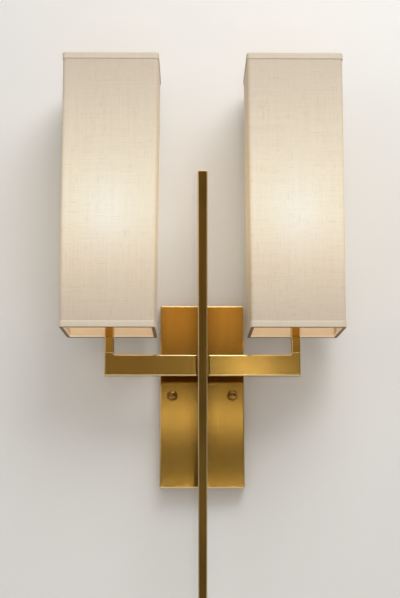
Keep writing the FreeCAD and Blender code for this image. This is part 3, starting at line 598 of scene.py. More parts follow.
@dataclass(frozen=True)
class FrostedBulb:
    """Etched glass that hides its filament and glows, strongest round its middle."""

    name: str
    centre: Point
    radius: float
    spread: float = 1.4
    edge_light: Colour = (0.50, 0.32, 0.17)
    middle_light: Colour = (1.0, 0.74, 0.46)

    def make(self) -> Material:
        """Build the material.

        Returns:
            The glowing glass.
        """
        recipe = Recipe(self.name)
        _, _, z = recipe.split(recipe.place)
        above = recipe.maths("SUBTRACT", z, self.centre[2])
        bright = recipe.bell(recipe.maths("DIVIDE", above, self.radius * self.spread))
        etch = recipe.cloud((900.0, 900.0, 900.0), detail=3.0)
        recipe.set(
            Emission_Color=recipe.blend(bright, self.edge_light, self.middle_light),
            Roughness=recipe.remap(etch, MOST, (0.45, 0.65)),
        )
        recipe.set(Base_Color=(0.92, 0.90, 0.86), Emission_Strength=5.0, Coat_Weight=0.2)
        recipe.bump(etch, 0.01 * MM)
        return recipe.material


# Building a mesh ----------------------------------------------------------------------------


@dataclass
class Shape:
    """Points and faces of one piece, gathered from rings that are joined in order."""

    points: list[Vector] = field(default_factory=list)
    faces: list[tuple[int, ...]] = field(default_factory=list)
    marks: list[int] = field(default_factory=list)

    def skin(self, rings: Sequence[Ring], around: bool = False) -> "Shape":
        """Join closed rings of equal length with quads, and close the first and last one.

        Args:
            rings: the rings in order.
            around: whether the last ring joins the first one instead.

        Returns:
            This shape.
        """
        start, size = len(self.points), len(rings[0])
        self.points.extend(point for ring in rings for point in ring)
        for row in range(len(rings) if around else len(rings) - 1):
            low = start + row * size
            high = start + (row + 1) % len(rings) * size
            for place in range(size):
                after = (place + 1) % size
                self.add((low + place, low + after, high + after, high + place))
        if not around:
            last = start + (len(rings) - 1) * size
            self.add(tuple(range(start + size - 1, start - 1, -1)))
            self.add(tuple(range(last, last + size)))
        return self

    def add(self, face: tuple[int, ...]) -> None:
        """Add one face with the first finish."""
        self.faces.append(face)
        self.marks.append(0)

    def moved(self, change: Callable[[Vector], Vector]) -> "Shape":
        """Move every point.

        Args:
            change: the new place of a point.

        Returns:
            This shape.
        """
        self.points = [change(point) for point in self.points]
        return self


@dataclass
class Piece:
    """A piece of the scene: its shape, finishes, body, slot and the CAD nodes that it replaces."""

    name: str
    shape: Shape
    finishes: Sequence[Material]
    body: str
    slot: str
    replaces: Sequence[str] = ()
    crease: float = 38.0

    def build(self) -> bpy.types.Object:
        """Make the object and tie it to its body.

        Returns:
            The Blender object.
        """
        mesh = bpy.data.meshes.new(self.name)
        mesh.from_pydata(self.shape.points, [], self.shape.faces)
        for finish in self.finishes:
            mesh.materials.append(finish)
        for polygon, mark in zip(mesh.polygons, self.shape.marks):
            polygon.material_index = mark
            polygon.use_smooth = True
        mesh.validate()
        mesh.set_sharp_from_angle(angle=math.radians(self.crease))
        made = bpy.data.objects.new(self.name, mesh)
        bpy.context.scene.collection.objects.link(made)
        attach(made, self.body)
        if self.replaces:
            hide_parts(*self.replaces)
        log.info("%s: %d faces on %s", self.name, len(mesh.polygons), self.body)
        return made


def spoke(radius: float, turn: float, height: float) -> Vector:
    """The point at a radius, an angle about the Z axis and a height."""
    return Vector((radius * math.cos(turn), radius * math.sin(turn), height))


def ring_at(radius: float, height: float, segments: int) -> Ring:
    """A level circle about the Z axis."""
    return [spoke(radius, TURN * step / segments, height) for step in range(segments)]


def circles(outline: Sequence[Pair], segments: int) -> list[Ring]:
    """Level circles about the Z axis, from the radius and height of each."""
    return [ring_at(radius, height, segments) for radius, height in outline]


def arc(centre: Pair, reach: Pair, start: float, end: float, steps: int) -> list[Pair]:
    """Points along a curve round a centre.

    Args:
        centre: the middle, across and up.
        reach: its radii across and up; a negative one mirrors the curve.
        start: the first angle, in radians.
        end: the last angle.
        steps: how many steps lie between them.

    Returns:
        The points.
    """
    turns = (start + (end - start) * step / steps for step in range(steps + 1))
    (x, y), (wide, tall) = centre, reach
    return [(x + wide * math.cos(turn), y + tall * math.sin(turn)) for turn in turns]


@dataclass(frozen=True)
class Thread:
    """A screw thread about the Z axis."""

    crest: float
    pitch: float
    depth: float
    segments: int
    rows_per_turn: int
    rounded: bool = False

    def radius(self, height: float, turn: float) -> float:
        """The surface's radius at a height and an angle.

        Args:
            height: the height.
            turn: the angle, in radians.

        Returns:
            The radius.
        """
        share = (height / self.pitch - turn / TURN) % 1.0
        if self.rounded:
            return self.crest - self.depth * (0.5 - 0.5 * math.cos(TURN * share))
        return self.crest - self.depth * abs(2 * share - 1)

    def rings(self, low: float, high: float) -> list[Ring]:
        """Rings of the threaded stretch, its crests faded out over one pitch at both ends.

        Args:
            low: the stretch's start.
            high: its end.

        Returns:
            The rings from low to high.
        """
        rows = max(2, round((high - low) / self.pitch * self.rows_per_turn))
        root = self.crest - self.depth
        made = []
        for row in range(rows + 1):
            height = low + (high - low) * row / rows
            share = min(1.0, (height - low) / self.pitch, (high - height) / self.pitch)
            ring = []
            for step in range(self.segments):
                turn = TURN * step / self.segments
                ring.append(spoke(root + (self.radius(height, turn) - root) * share, turn, height))
            made.append(ring)
        return made

    def pipe(self, low: float, high: float, bore: float) -> Shape:
        """A tube with this thread outside.

        Args:
            low: its lower end.
            high: its upper end.
            bore: the radius of its bore.

        Returns:
            The tube.
        """
        inside = circles([(bore, high), (bore, low)], self.segments)
        return Shape().skin(self.rings(low, high) + inside, around=True)


def out_from_wall(centre: Vector) -> Callable[[Vector], Vector]:
    """Turn a shape built upwards so that it stands out from the wall at a place."""
    return lambda point: centre + Vector((point.x, -point.z, point.y))


def middle_of(node: str) -> Vector:
    """The middle of a node's box."""
    low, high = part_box(node)
    return (low + high) / 2


def rounded_loop(half: Pair, radius: float, per_side: int, per_corner: int) -> list[Pair]:
    """Points round a rectangle with round corners, anticlockwise from its back left corner.

    Args:
        half: half the width and half the depth.
        radius: the corners' radius.
        per_side: steps along each straight stretch.
        per_corner: steps round each corner.

    Returns:
        The points.
    """
    loop: list[Pair] = []
    for across, out, start in ((-1, 1, 90), (-1, -1, 180), (1, -1, 270), (1, 1, 0)):
        centre = (across * (half[0] - radius), out * (half[1] - radius))
        angles = (math.radians(start), math.radians(start + 90))
        loop += arc(centre, (radius, radius), *angles, per_corner)
    filled = []
    for number, point in enumerate(loop, start=1):
        after = loop[number % len(loop)]
        filled.append(point)
        if number % (per_corner + 1) == 0:
            for step in range(1, per_side):
                share = step / per_side
                filled.append(tuple(a + (b - a) * share for a, b in zip(point, after)))
    return filled


# The finishes of this fixture ---------------------------------------------------------------


class Palette:
    """Every finish that more than one sub-assembly wears."""

    def __init__(self) -> None:
        """Make each finish once."""
        # The arms and hub wear a darker copy of the brass: painted shade for the dark reflections
        # on them.
        self.level_brass_shaded = SatinBrass(
            "brass_brushed_across_shaded",
            Grain.ACROSS,
            tint=(0.295, 0.181, 0.041),
            deep=(0.25, 0.145, 0.029),
        ).make()
        self.upright_brass = SatinBrass("brass_brushed_upright", Grain.UPRIGHT).make()
        # The bar wears a much darker copy of the brass: painted shade for the dark reflections on
        # its face.
        self.bar_brass = SatinBrass(
            "brass_brushed_bar_shaded",
            Grain.UPRIGHT,
            tint=(0.185, 0.104, 0.022),
            deep=(0.105, 0.056, 0.011),
            roughness=0.40,
            spread=0.5,
            streak=0.75,
            edge=2.0 * MM,
        ).make()
        # The ball nuts' brass is a darker copy of the turned brass: painted shade for their dark
        # reflections.
        self.turned_brass, self.ball_brass, self.plain_brass = (
            TurnedMetal("brass_turned", (0.62, 0.33, 0.07), (0.42, 0.20, 0.035), 0.22).make(),
            TurnedMetal("brass_ball", (0.38, 0.215, 0.058), (0.26, 0.135, 0.032), 0.17).make(),
            TurnedMetal("brass_plain", (0.86, 0.66, 0.30), (0.70, 0.46, 0.18), 0.26).make(),
        )
        self.zinc, self.cap_metal, self.green = (
            TurnedMetal("steel_zinc_plated", (0.62, 0.62, 0.60), (0.52, 0.53, 0.48), 0.34).make(),
            TurnedMetal("bulb_cap_metal", (0.78, 0.78, 0.76), (0.66, 0.65, 0.61), 0.24).make(),
            TurnedMetal("screw_green_dye", (0.05, 0.32, 0.13), (0.03, 0.22, 0.10), 0.32).make(),
        )
        # The first of these is painted shade: a dark coating on the underside of the bottom hem.
        self.hem_under, self.enamel, self.moulding, self.black_glass = (
            Coating("tape_underside_painted_shade", (0.27, 0.17, 0.09), (0.20, 0.12, 0.06), 0.85).make(),
            Coating("wire_white_enamel", (0.80, 0.79, 0.75), (0.70, 0.67, 0.60), 0.28, 0.4).make(),
            Coating("holder_dark_thermoset", (0.035, 0.03, 0.026), (0.06, 0.05, 0.04), 0.3).make(),
            Coating("bulb_black_glass", (0.01, 0.01, 0.012), (0.02, 0.02, 0.02), 0.12).make(),
        )


def dress(finish: Material, *nodes: str) -> None:
    """Give CAD nodes their finish.

    Args:
        finish: the material.
        nodes: the nodes that wear it.
    """
    for node in nodes:
        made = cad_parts[node]
        made.data.materials.clear()
        made.data.materials.append(finish)
        log.info("%s: %s", node, finish.name)


# Sub-assemblies -----------------------------------------------------------------------------


@dataclass
class WallStrap:
    """The steel strap on the outlet box, with its studs, lock nuts and ground screw."""

    palette: Palette
    stud_pitch: float = 0.8 * MM
    stud_depth: float = 0.35 * MM
    screw_pitch: float = 0.7 * MM
    screw_depth: float = 0.3 * MM
    shank_share: float = 0.44
    head_thick: float = 2.2 * MM
    head_straight: float = 0.6
    head_lift: float = 0.1 * MM
    dome_span: Pair = (0.3, 1.35)
    dome_steps: int = 4
    segments: int = 24

    def build(self) -> None:
        """Dress the strap and make its threaded pieces."""
        dress(self.palette.zinc, "box_bar", "stud_bar", "strap_bush", "stud_lock_nuts")
        self.studs()
        self.ground_screw()

    def studs(self) -> None:
        """Two threaded studs."""
        low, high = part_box("plate_studs")
        crest = (high.z - low.z) / 2
        thread = Thread(crest, self.stud_pitch, self.stud_depth, segments=20, rows_per_turn=4)
        rings = thread.rings(0.0, high.y - low.y)
        shape = Shape()
        for across in (low.x + crest, high.x - crest):
            change = out_from_wall(Vector((across, high.y, (low.z + high.z) / 2)))
            shape.skin([[change(point) for point in ring] for ring in rings])
        nodes, finishes = ["plate_studs"], [self.palette.zinc]
        Piece("studs_threaded", shape, finishes, "fixture", "plated_steel", nodes).build()

    def ground_screw(self) -> None:
        """The green screw: threaded shank and a domed head."""
        low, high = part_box("ground_screw")
        head = (high.z - low.z) / 2
        reach = high.y - low.y - self.head_thick
        straight = reach + self.head_straight * self.head_thick
        dome = (1 - self.head_straight) * self.head_thick
        shank = head * self.shank_share
        thread = Thread(shank, self.screw_pitch, self.screw_depth, self.segments, rows_per_turn=5)
        outline = [(head, reach + self.head_lift), (head, straight)]
        outline += arc((0.0, straight), (head, dome), *self.dome_span, self.dome_steps)
        shape = Shape().skin(thread.rings(0.0, reach) + circles(outline, self.segments))
        shape.moved(out_from_wall(Vector((middle_of("ground_screw").x, high.y, 0.0))))
        nodes, finishes = ["ground_screw"], [self.palette.green]
        Piece("ground_screw_head", shape, finishes, "fixture", "green_screw", nodes).build()


@dataclass
class BackPlate:
    """The brass pan on the wall and the two ball nuts that hold it.

    A nut's foot is eased under and over its edge, and its ball closes at the angle ball_end.
    """

    palette: Palette
    foot_radius: float = 4.8 * MM
    foot_thick: float = 1.4 * MM
    foot_eased: Pair = (0.2 * MM, 0.15 * MM)
    bore: float = 0.8 * MM
    ball_end: float = 1.53
    ball_steps: int = 26
    segments: int = 48

    def build(self) -> None:
        """Dress the pan and turn the nuts."""
        dress(self.palette.upright_brass, "back_plate")
        for side in Side:
            self.ball_nut(side)

    def ball_nut(self, side: Side) -> None:
        """One ball nut, turned from solid brass.

        Args:
            side: the half of the fixture.
        """
        node = f"ball_nut_{side.word}"
        low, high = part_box(node)
        radius = (high.z - low.z) / 2
        middle = high.y - low.y - radius
        waist = math.asin((self.foot_thick - middle) / radius)
        foot, thick, (under, over) = self.foot_radius, self.foot_thick, self.foot_eased
        outline = [(self.bore, 0.0), (foot - under, 0.0), (foot, under)]
        outline += [(foot, thick - over), (foot - over, thick)]
        outline += arc((0.0, middle), (radius, radius), waist, self.ball_end, self.ball_steps)
        shape = Shape().skin(circles(outline, self.segments))
        shape.moved(out_from_wall(Vector((middle_of(node).x, high.y, 0.0))))
        body, finishes = f"nut_{side.word}", [self.palette.ball_brass]
        Piece(f"ball_{side.word}", shape, finishes, body, "satin_brass", [node]).build()


@dataclass
class Crossing:
    """The standoff, the hub and the long tapered bar."""

    palette: Palette
    pitch: float = 1.0 * MM
    depth: float = 0.4 * MM
    bore: float = 3.25 * MM

    def build(self) -> None:
        """Dress the pieces and thread the pipe."""
        dress(self.palette.turned_brass, "standoff_tube")
        dress(self.palette.level_brass_shaded, "hub")
        dress(self.palette.bar_brass, "tapered_bar")
        dress(self.palette.zinc, "pipe_washer", "pipe_nut", "bar_screws")
        low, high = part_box("standoff_pipe")
        thread = Thread((high.z - low.z) / 2, self.pitch, self.depth, segments=32, rows_per_turn=4)
        shape = thread.pipe(0.0, high.y - low.y, self.bore)
        shape.moved(out_from_wall(Vector((0.0, high.y, (low.z + high.z) / 2))))
        nodes, finishes = ["standoff_pipe"], [self.palette.zinc]
        Piece("pipe_threaded", shape, finishes, "fixture", "plated_steel", nodes).build()


@dataclass
class HalfAssembly:
    """A sub-assembly that is there on both sides, about the upright axis of its core node."""

    core: ClassVar[str]
    side: Side
    palette: Palette

    def named(self, name: str) -> str:
        """A name with this side's ending."""
        return f"{name}_{self.side.word}"

    def box(self, node: str) -> tuple[Vector, Vector]:
        """The box of a node of this side."""
        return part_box(self.named(node))

    @property
    def axis(self) -> Vector:
        """The axis where it meets the level Z = 0."""
        middle = middle_of(self.named(self.core))
        return Vector((middle.x, middle.y, 0.0))

    def place(
        self,
        name: str,
        shape: Shape,
        finishes: Sequence[Material],
        body: str,
        slot: str,
        node: str = "",
        crease: float = Piece.crease,
    ) -> bpy.types.Object:
        """Set a shape on the axis and make it a piece of this side.

        Args:
            name: the piece's name without its side.
            shape: its shape about the axis.
            finishes: its finishes.
            body: the body that carries it.
            slot: its slot.
            node: the CAD node that it stands for, without its side.
            crease: the angle past which an edge stays sharp, in degrees.

        Returns:
            The Blender object.
        """
        axis = self.axis
        shape.moved(lambda point: axis + point)
        nodes = [self.named(node)] if node else []
        return Piece(self.named(name), shape, finishes, body, slot, nodes, crease).build()


@dataclass
class Arm(HalfAssembly):
    """A square-cut arm, the upright on its end and the threaded pipe in its top."""

    core: ClassVar[str] = "holder_pipe"
    pitch: float = 1.0 * MM
    depth: float = 0.4 * MM
    bore: float = 2.75 * MM

    def build(self) -> None:
        """Dress the arm and thread its pipe."""
        dress(self.palette.level_brass_shaded, self.named("arm"))
        dress(self.palette.upright_brass, self.named("upright"))
        dress(self.palette.plain_brass, self.named("upright_bush"))
        low, high = self.box("holder_pipe")
        thread = Thread((high.x - low.x) / 2, self.pitch, self.depth, segments=28, rows_per_turn=4)
        shape, finishes = thread.pipe(low.z, high.z, self.bore), [self.palette.zinc]
        self.place("pipe_small", shape, finishes, "fixture", "plated_steel", "holder_pipe")


@dataclass
class LampHolder(HalfAssembly):
    """The turned cup, the moulded holder with its outside thread, the shell, contact and ring."""

    core: ClassVar[str] = "holder_body"
    base_radius: float = 16.5 * MM
    base_cut: float = 6.0 * MM
    wire_hole: float = 3.0 * MM
    flange_radius: float = 22.5 * MM
    flange_thick: float = 3.0 * MM
    flange_root: float = 1.0 * MM
    eased: float = 0.4 * MM
    neck_radius: float = 19.7 * MM
    thread_pitch: float = 2.5 * MM
    thread_depth: float = 0.9 * MM
    thread_tall: float = 15.0 * MM
    well_radius: float = 13.8 * MM
    well_deep: float = 30.0 * MM
    segments: int = 48
    ring_bore: float = 19.75 * MM
    collar_in: float = 4.0 * MM
    collar_root: float = 0.6 * MM
    rim_tall: float = 3.0 * MM
    rim_eased: float = 0.3 * MM
    notches: int = 24
    notch_radius: float = 1.5 * MM
    ring_segments: int = 240

    def build(self) -> None:
        """Dress the metal pieces, then make the holder and the ring."""
        dress(self.palette.turned_brass, self.named("holder_cup"))
        dress(self.palette.plain_brass, self.named("screw_shell"), self.named("centre_contact"))
        self.holder()
        self.ring()

    def holder(self) -> None:
        """The moulded body: a tapered foot, the flange and the threaded neck round its well."""
        low, high = self.box("holder_body")
        seat = high.z - self.thread_tall
        under = seat - self.flange_thick
        foot = self.base_radius - self.base_cut
        outline = [(self.wire_hole, low.z), (foot, low.z)]
        outline.append((self.base_radius, low.z + self.base_cut))
        outline.append((self.base_radius, under - self.flange_root))
        outline.append((self.base_radius + self.flange_root, under))
        rim, inner_rim = self.flange_radius, self.flange_radius - self.eased
        outline += [(inner_rim, under), (rim, under + self.eased)]
        outline += [(rim, seat - self.eased), (inner_rim, seat)]
        neck = (self.neck_radius, self.thread_pitch, self.thread_depth)
        thread = Thread(*neck, self.segments, rows_per_turn=8)
        floor = high.z - self.well_deep
        well = [(self.well_radius, high.z), (self.well_radius, floor), (self.wire_hole, floor)]
        rings = circles(outline, self.segments) + thread.rings(seat, high.z)
        shape = Shape().skin(rings + circles(well, self.segments), around=True)
        finishes = [self.palette.moulding]
        self.place("holder", shape, finishes, "fixture", "holder_moulding", "holder_body")

    def ring(self) -> None:
        """The shade ring: a rim with finger notches and a collar."""
        low, high = self.box("shade_ring")
        rim = (high.x - low.x) / 2
        top, eased = low.z + self.rim_tall, self.rim_eased
        pitch = TURN / self.notches
        rings = [ring_at(self.ring_bore, low.z, self.ring_segments)]
        notched = [(rim - eased, low.z), (rim, low.z + eased)]
        notched += [(rim, top - eased), (rim - eased, top)]
        for radius, height in notched:
            ring = []
            for step in range(self.ring_segments):
                turn = TURN * step / self.ring_segments
                aside = rim * ((turn + pitch / 2) % pitch - pitch / 2)
                cut = math.sqrt(max(0.0, self.notch_radius**2 - aside**2))
                ring.append(spoke(radius - cut, turn, height))
            rings.append(ring)
        collar = rim - self.collar_in
        outline = [(collar + self.collar_root, top), (collar, top + self.collar_root)]
        outline += [(collar, high.z - self.eased), (collar - self.eased, high.z)]
        outline.append((self.ring_bore, high.z))
        shape = Shape().skin(rings + circles(outline, self.ring_segments), around=True)
        finishes = [self.palette.turned_brass]
        self.place("ring", shape, finishes, self.named("ring"), "satin_brass", "shade_ring")


@dataclass
class Bulb(HalfAssembly):
    """A frosted globe bulb with a rounded screw thread.

    The cap narrows below its thread: waist holds its shares of the thread's root and of the cone.
    The gaps are angles left out where the glass passes from one curve to the next.
    """

    core: ClassVar[str] = "bulb_glass"
    neck: float = 12.8 * MM
    neck_tall: float = 3.0 * MM
    shoulder: float = 40.0 * MM
    pitch: float = 3.63 * MM
    thread_depth: float = 1.2 * MM
    cone_tall: float = 4.0 * MM
    collar_tall: float = 1.5 * MM
    waist: Pair = (0.8, 0.75)
    glass_share: float = 0.55
    glass_radius: float = 5.2 * MM
    glass_rise: float = 0.6 * MM
    contact: tuple[Pair, ...] = ((3.0 * MM, 0.0), (4.4 * MM, 0.5 * MM), (4.9 * MM, 1.3 * MM))
    neck_gap: float = 0.05
    shoulder_gap: float = 0.04
    globe_end: float = 1.52
    shoulder_steps: int = 10
    globe_steps: int = 36
    globe_segments: int = 64
    contact_segments: int = 40
    segments: int = 48

    def build(self) -> None:
        """Make glass, base and tip."""
        self.glass()
        self.base()

    def glass(self) -> None:
        """The envelope: neck, hollow shoulder and globe."""
        low, high = self.box("bulb_glass")
        globe = (high.x - low.x) / 2
        start = low.z + self.neck_tall
        reach, drop = self.neck + self.shoulder, globe + self.shoulder
        fall = math.sqrt(drop**2 - reach**2)
        lean = math.atan2(fall, reach)
        centre = start + fall
        outline = [(self.neck, low.z), (self.neck, start)]
        bend = (-self.shoulder, self.shoulder)
        outline += arc((reach, start), bend, self.neck_gap, lean, self.shoulder_steps)
        span = (-lean + self.shoulder_gap, self.globe_end)
        outline += arc((0.0, centre), (globe, globe), *span, self.globe_steps)
        middle = (self.axis.x, self.axis.y, centre)
        finishes = [FrostedBulb(self.named("glass_frosted"), middle, globe).make()]
        shape = Shape().skin(circles(outline, self.globe_segments))
        self.place("globe", shape, finishes, self.named("bulb"), "frosted_glass", "bulb_glass")

    def base(self) -> None:
        """The screw cap, the black glass below it and the contact."""
        low, high = self.box("bulb_base")
        body, metal = self.named("bulb"), [self.palette.cap_metal]
        crest = (high.x - low.x) / 2
        root = crest - self.thread_depth
        thread = Thread(
            crest, self.pitch, self.thread_depth, self.segments, rows_per_turn=10, rounded=True
        )
        waist = (root * self.waist[0], low.z + self.cone_tall * self.waist[1])
        rings = thread.rings(low.z + self.cone_tall, high.z - self.collar_tall)
        rings = circles([waist], self.segments) + rings + circles([(root, high.z)], self.segments)
        self.place("cap", Shape().skin(rings), metal, body, "bulb_cap", "bulb_base")
        glass = [(self.glass_radius, low.z)]
        glass += [(root * self.glass_share, low.z + self.glass_rise), waist]
        shape = Shape().skin(circles(glass, self.segments))
        self.place("cap_insulator", shape, [self.palette.black_glass], body, "bulb_cap")
        tip = self.box("bulb_tip")[0].z
        contact = [(radius, tip + up) for radius, up in self.contact]
        contact.append((contact[-1][0], low.z))
        shape = Shape().skin(circles(contact, self.contact_segments))
        self.place("cap_contact", shape, metal, body, "bulb_cap", "bulb_tip")


@dataclass
class Shade(HalfAssembly):
    """A tall rectangular linen shade: skin, hems, seam, wires and spider.

    The seam's place is a share of the width, from the middle towards the other shade. Repeats are
    per metre, and the other shares are of a hem's height.
    """

    core: ClassVar[str] = "shade_skin"
    corner: float = 5.0 * MM
    skin_thick: float = 1.0 * MM
    tape: float = 0.6 * MM
    tape_gap: float = 0.1 * MM
    tape_fold: float = 1.6 * MM
    tape_cut: float = 0.8 * MM
    tape_bevel: Pair = (0.18 * MM, 0.25 * MM)
    tape_waver: float = 0.12 * MM
    tape_repeats: float = 60.0
    fold_steps: int = 5
    leg_rows: tuple[float, ...] = (0.8, 0.6, 0.4)
    lap_share: float = 0.6
    wavering_share: float = 0.9
    border_share: float = 0.82
    level_least: float = 0.6
    wire: float = 3.0 * MM
    per_side: int = 24
    per_corner: int = 6
    rows: int = 60
    slack: float = 0.12 * MM
    slack_repeats: float = 22.0
    least_corner: float = 0.15 * MM
    seam_wide: float = 9.0 * MM
    seam_proud: float = 0.35 * MM
    seam_sunk: float = 0.2 * MM
    seam_turned_in: float = 0.4 * MM
    seam_under_hem: float = 1.0 * MM
    seam_place: float = 0.36
    seam_waver: float = 0.25 * MM
    seam_repeats: float = 30.0
    seam_rows: int = 40
    bulb_radius: float = 30.0 * MM

    def __post_init__(self) -> None:
        """Read the shade's sizes from its nodes."""
        top_low, top_high = self.box("shade_top_trim")
        end_low, end_high = self.box("shade_bottom_trim")
        proud = self.tape + self.tape_gap
        self.bottom, self.top = end_low.z, top_high.z
        self.hem = end_high.z - end_low.z
        self.low_half = tuple(half - proud for half in ((end_high - end_low) / 2)[:2])
        self.top_half = tuple(half - proud for half in ((top_high - top_low) / 2)[:2])
        lamp = middle_of(self.named("bulb_glass"))
        self.lamp = (lamp.x, lamp.y, self.box("bulb_glass")[1].z - self.bulb_radius)

    def build(self) -> None:
        """Make the cloth pieces and dress the wires."""
        # The lamp's light is painted into the cloth as emission: full on the linen, dim on the
        # tapes and inside on the lining.
        glow = Glow(
            self.lamp,
            broad=(0.350, 0.336, 0.240),
            sides=(0.300, 0.190, 0.054),
            low=(0.355, 0.298, 0.192),
            spot=(0.04, 0.09, 0.145),
        )
        dim = Glow(
            self.lamp,
            broad=(0.23, 0.205, 0.155),
            sides=(0.150, 0.105, 0.055),
            low=(0.23, 0.200, 0.148),
            spot=(0.0, 0.0, 0.0),
            rise=0.25,
            fall=0.2,
        )
        inner = Glow(
            self.lamp,
            broad=(0.22, 0.165, 0.100),
            sides=(0.128, 0.096, 0.058),
            low=(0.22, 0.165, 0.100),
            spot=(0.12, 0.12, 0.10),
            rise=0.2,
            fall=0.2,
        )
        linen = Linen(self.named("linen"), glow).make()
        lining = Lining(self.named("lining"), inner).make()
        tape = Linen(self.named("tape"), dim, tint=(0.52, 0.455, 0.375), slub_share=0.5).make()
        # Lighter tape along the hem's folded edge: a painted highlight where the fold catches the
        # light.
        fold = Linen(self.named("tape_fold"), dim, tint=(0.58, 0.51, 0.43), slub_share=0.3).make()
        # The inner leg wears a paler copy of the lining: painted light from the bulb on it.
        turned_in = Lining(self.named("tape_inside_lit"), inner, tint=(0.90, 0.84, 0.74)).make()
        tapes = {
            TapePart.OUTER_LEG: tape,
            TapePart.UNDERSIDE: self.palette.hem_under,
            TapePart.INNER_LEG: turned_in,
            TapePart.BORDER: fold,
        }
        finishes = [tapes[part] for part in TapePart]
        hems = [self.hem_piece(edge, finishes) for edge in Edge]
        skin = self.skin(linen, lining)
        self.seam(linen)
        self.named("shade_corner_wires")
        wires = ("top_wire", "bottom_wire", "corner_wires", "spider")
        dress(self.palette.enamel, *(self.named(f"shade_{part}") for part in wires))

    def half_at(self, height: float) -> Pair:
        """Half the width and half the depth of the shade at a height."""
        share = (height - self.bottom) / (self.top - self.bottom)
        return tuple(low + (top - low) * share for low, top in zip(self.low_half, self.top_half))

    def loop(self, height: float, inset: float, level: float | None = None) -> Ring:
        """Points round the shade.

        Args:
            height: where the shade's size is taken.
            inset: how far inside the cloth's outer face.
            level: the points' own height, where it differs.

        Returns:
            The ring, about the shade's axis.
        """
        half_x, half_y = (half - inset for half in self.half_at(height))
        radius = max(self.corner - inset, self.least_corner)
        points = rounded_loop((half_x, half_y), radius, self.per_side, self.per_corner)
        return [Vector((x, y, height if level is None else level)) for x, y in points]

    def skin(self, linen: Material, lining: Material) -> bpy.types.Object:
        """The laminated wall of the shade, with the slight unevenness of cloth on a sheet.

        Args:
            linen: the outer finish.
            lining: the inner finish.

        Returns:
            The skin.
        """
        start, end = self.bottom + self.tape, self.top - self.tape
        heights = [start + (end - start) * row / self.rows for row in range(self.rows + 1)]
        outside = [self.uneven(self.loop(height, 0.0)) for height in heights]
        inside = [self.loop(height, self.skin_thick) for height in reversed(heights)]
        shape = Shape().skin(outside + inside, around=True)
        covered = len(heights) * len(outside[0])
        shape.marks = [int(number >= covered) for number in range(len(shape.marks))]
        finishes, body = [linen, lining], self.named("shade")
        return self.place("cloth", shape, finishes, body, "linen", "shade_skin", crease=50.0)

    def uneven(self, ring: Ring) -> Ring:
        """Push a ring's points in and out by less than the cloth's own thickness.

        Args:
            ring: the ring.

        Returns:
            The pushed ring.
        """
        moved = []
        for point in ring:
            out = Vector((point.x, point.y, 0.0)).normalized()
            place = Vector((point.x + self.side.value, point.y, point.z))
            push = noise.noise(place * self.slack_repeats) - 1.0
            moved.append(point + out * push * self.slack)
        return moved

    def seam(self, linen: Material) -> None:
        """The lapped strip where the linen's two ends meet, at the back near a corner.

        Args:
            linen: its finish.
        """
        proud, sunk, turned_in = self.seam_proud, self.seam_sunk, self.seam_turned_in
        covered = self.hem - self.seam_under_hem
        start, end = self.bottom + covered, self.top - covered
        rings = []
        for row in range(self.seam_rows + 1):
            height = start + (end - start) * row / self.seam_rows
            half_x, half_y = self.half_at(height)
            place = Vector((0.0, 0.0, height * self.seam_repeats))
            waver = self.seam_waver * noise.noise(place)
            middle = -self.side.value * self.seam_place * half_x * 2 + waver
            left, right = middle - self.seam_wide / 2, middle + self.seam_wide / 2
            out, half_out = half_y + proud, half_y + proud / 2
            section = [(left, half_y - sunk), (right, half_y - sunk), (right, half_out)]
            section += [(right - turned_in, out), (left + turned_in, out), (left, half_out)]
            rings.append([Vector((x, y, height)) for x, y in section])
        self.place("cloth_seam", Shape().skin(rings), [linen], self.named("shade"), "linen")

    def hem_piece(self, edge: Edge, finishes: Sequence[Material]) -> bpy.types.Object:
        """The tape folded over one edge: outer leg, round fold over the wire and inner leg.

        Args:
            edge: which edge of the shade.
            finishes: the finishes in the order of the tape's parts.

        Returns:
            The hem.
        """
        tape, hem, fold, cut = self.tape, self.hem, self.tape_fold, self.tape_cut
        across, down = self.tape_bevel
        outer = -(tape + self.tape_gap)
        inner = self.skin_thick + self.wire + 2 * self.tape_gap + tape
        leg = tape + self.wire
        profile = [
            (outer + tape, hem),
            (outer + across, hem),
            (outer, hem - down),
            *((outer, hem * share) for share in self.leg_rows),
            *arc((outer + fold, fold), (-fold, -fold), 0.0, QUARTER, self.fold_steps),
            *arc((inner - fold, fold), (fold, fold), -QUARTER, 0.0, self.fold_steps),
            (inner, leg),
            (inner - tape, leg),
            (inner - tape - cut, tape),
            (outer + tape + cut, tape),
            (outer + tape, tape + cut),
            (outer + tape, hem * self.lap_share),
        ]
        if edge is Edge.TOP:
            profile.reverse()
        rings = [self.hem_ring(edge, inset, depth) for inset, depth in profile]
        strips = zip(profile, profile[1:] + profile[:1])
        shape = Shape().skin(rings, around=True)
        shape.marks = [self.tape_part(*strip, edge).value for strip in strips for _ in rings[0]]
        name, body, node = f"hem_{edge.word}", self.named("shade"), f"shade_{edge.word}_trim"
        return self.place(name, shape, finishes, body, "trim_tape", node, crease=60.0)

    def hem_ring(self, edge: Edge, inset: float, depth: float) -> Ring:
        """One ring of a hem, wavering a little where the tape's free edge is.

        Args:
            edge: which edge of the shade.
            inset: how far inside the cloth's outer face.
            depth: how far from the edge.

        Returns:
            The ring.
        """
        level = self.bottom if edge is Edge.BOTTOM else self.top
        ring = self.loop(level, inset, level + edge.value * depth)
        if depth <= self.hem * self.wavering_share:
            return ring
        high, repeats = edge.value * self.tape_waver, self.tape_repeats
        return [point + Vector((0, 0, high * noise.noise(point * repeats))) for point in ring]

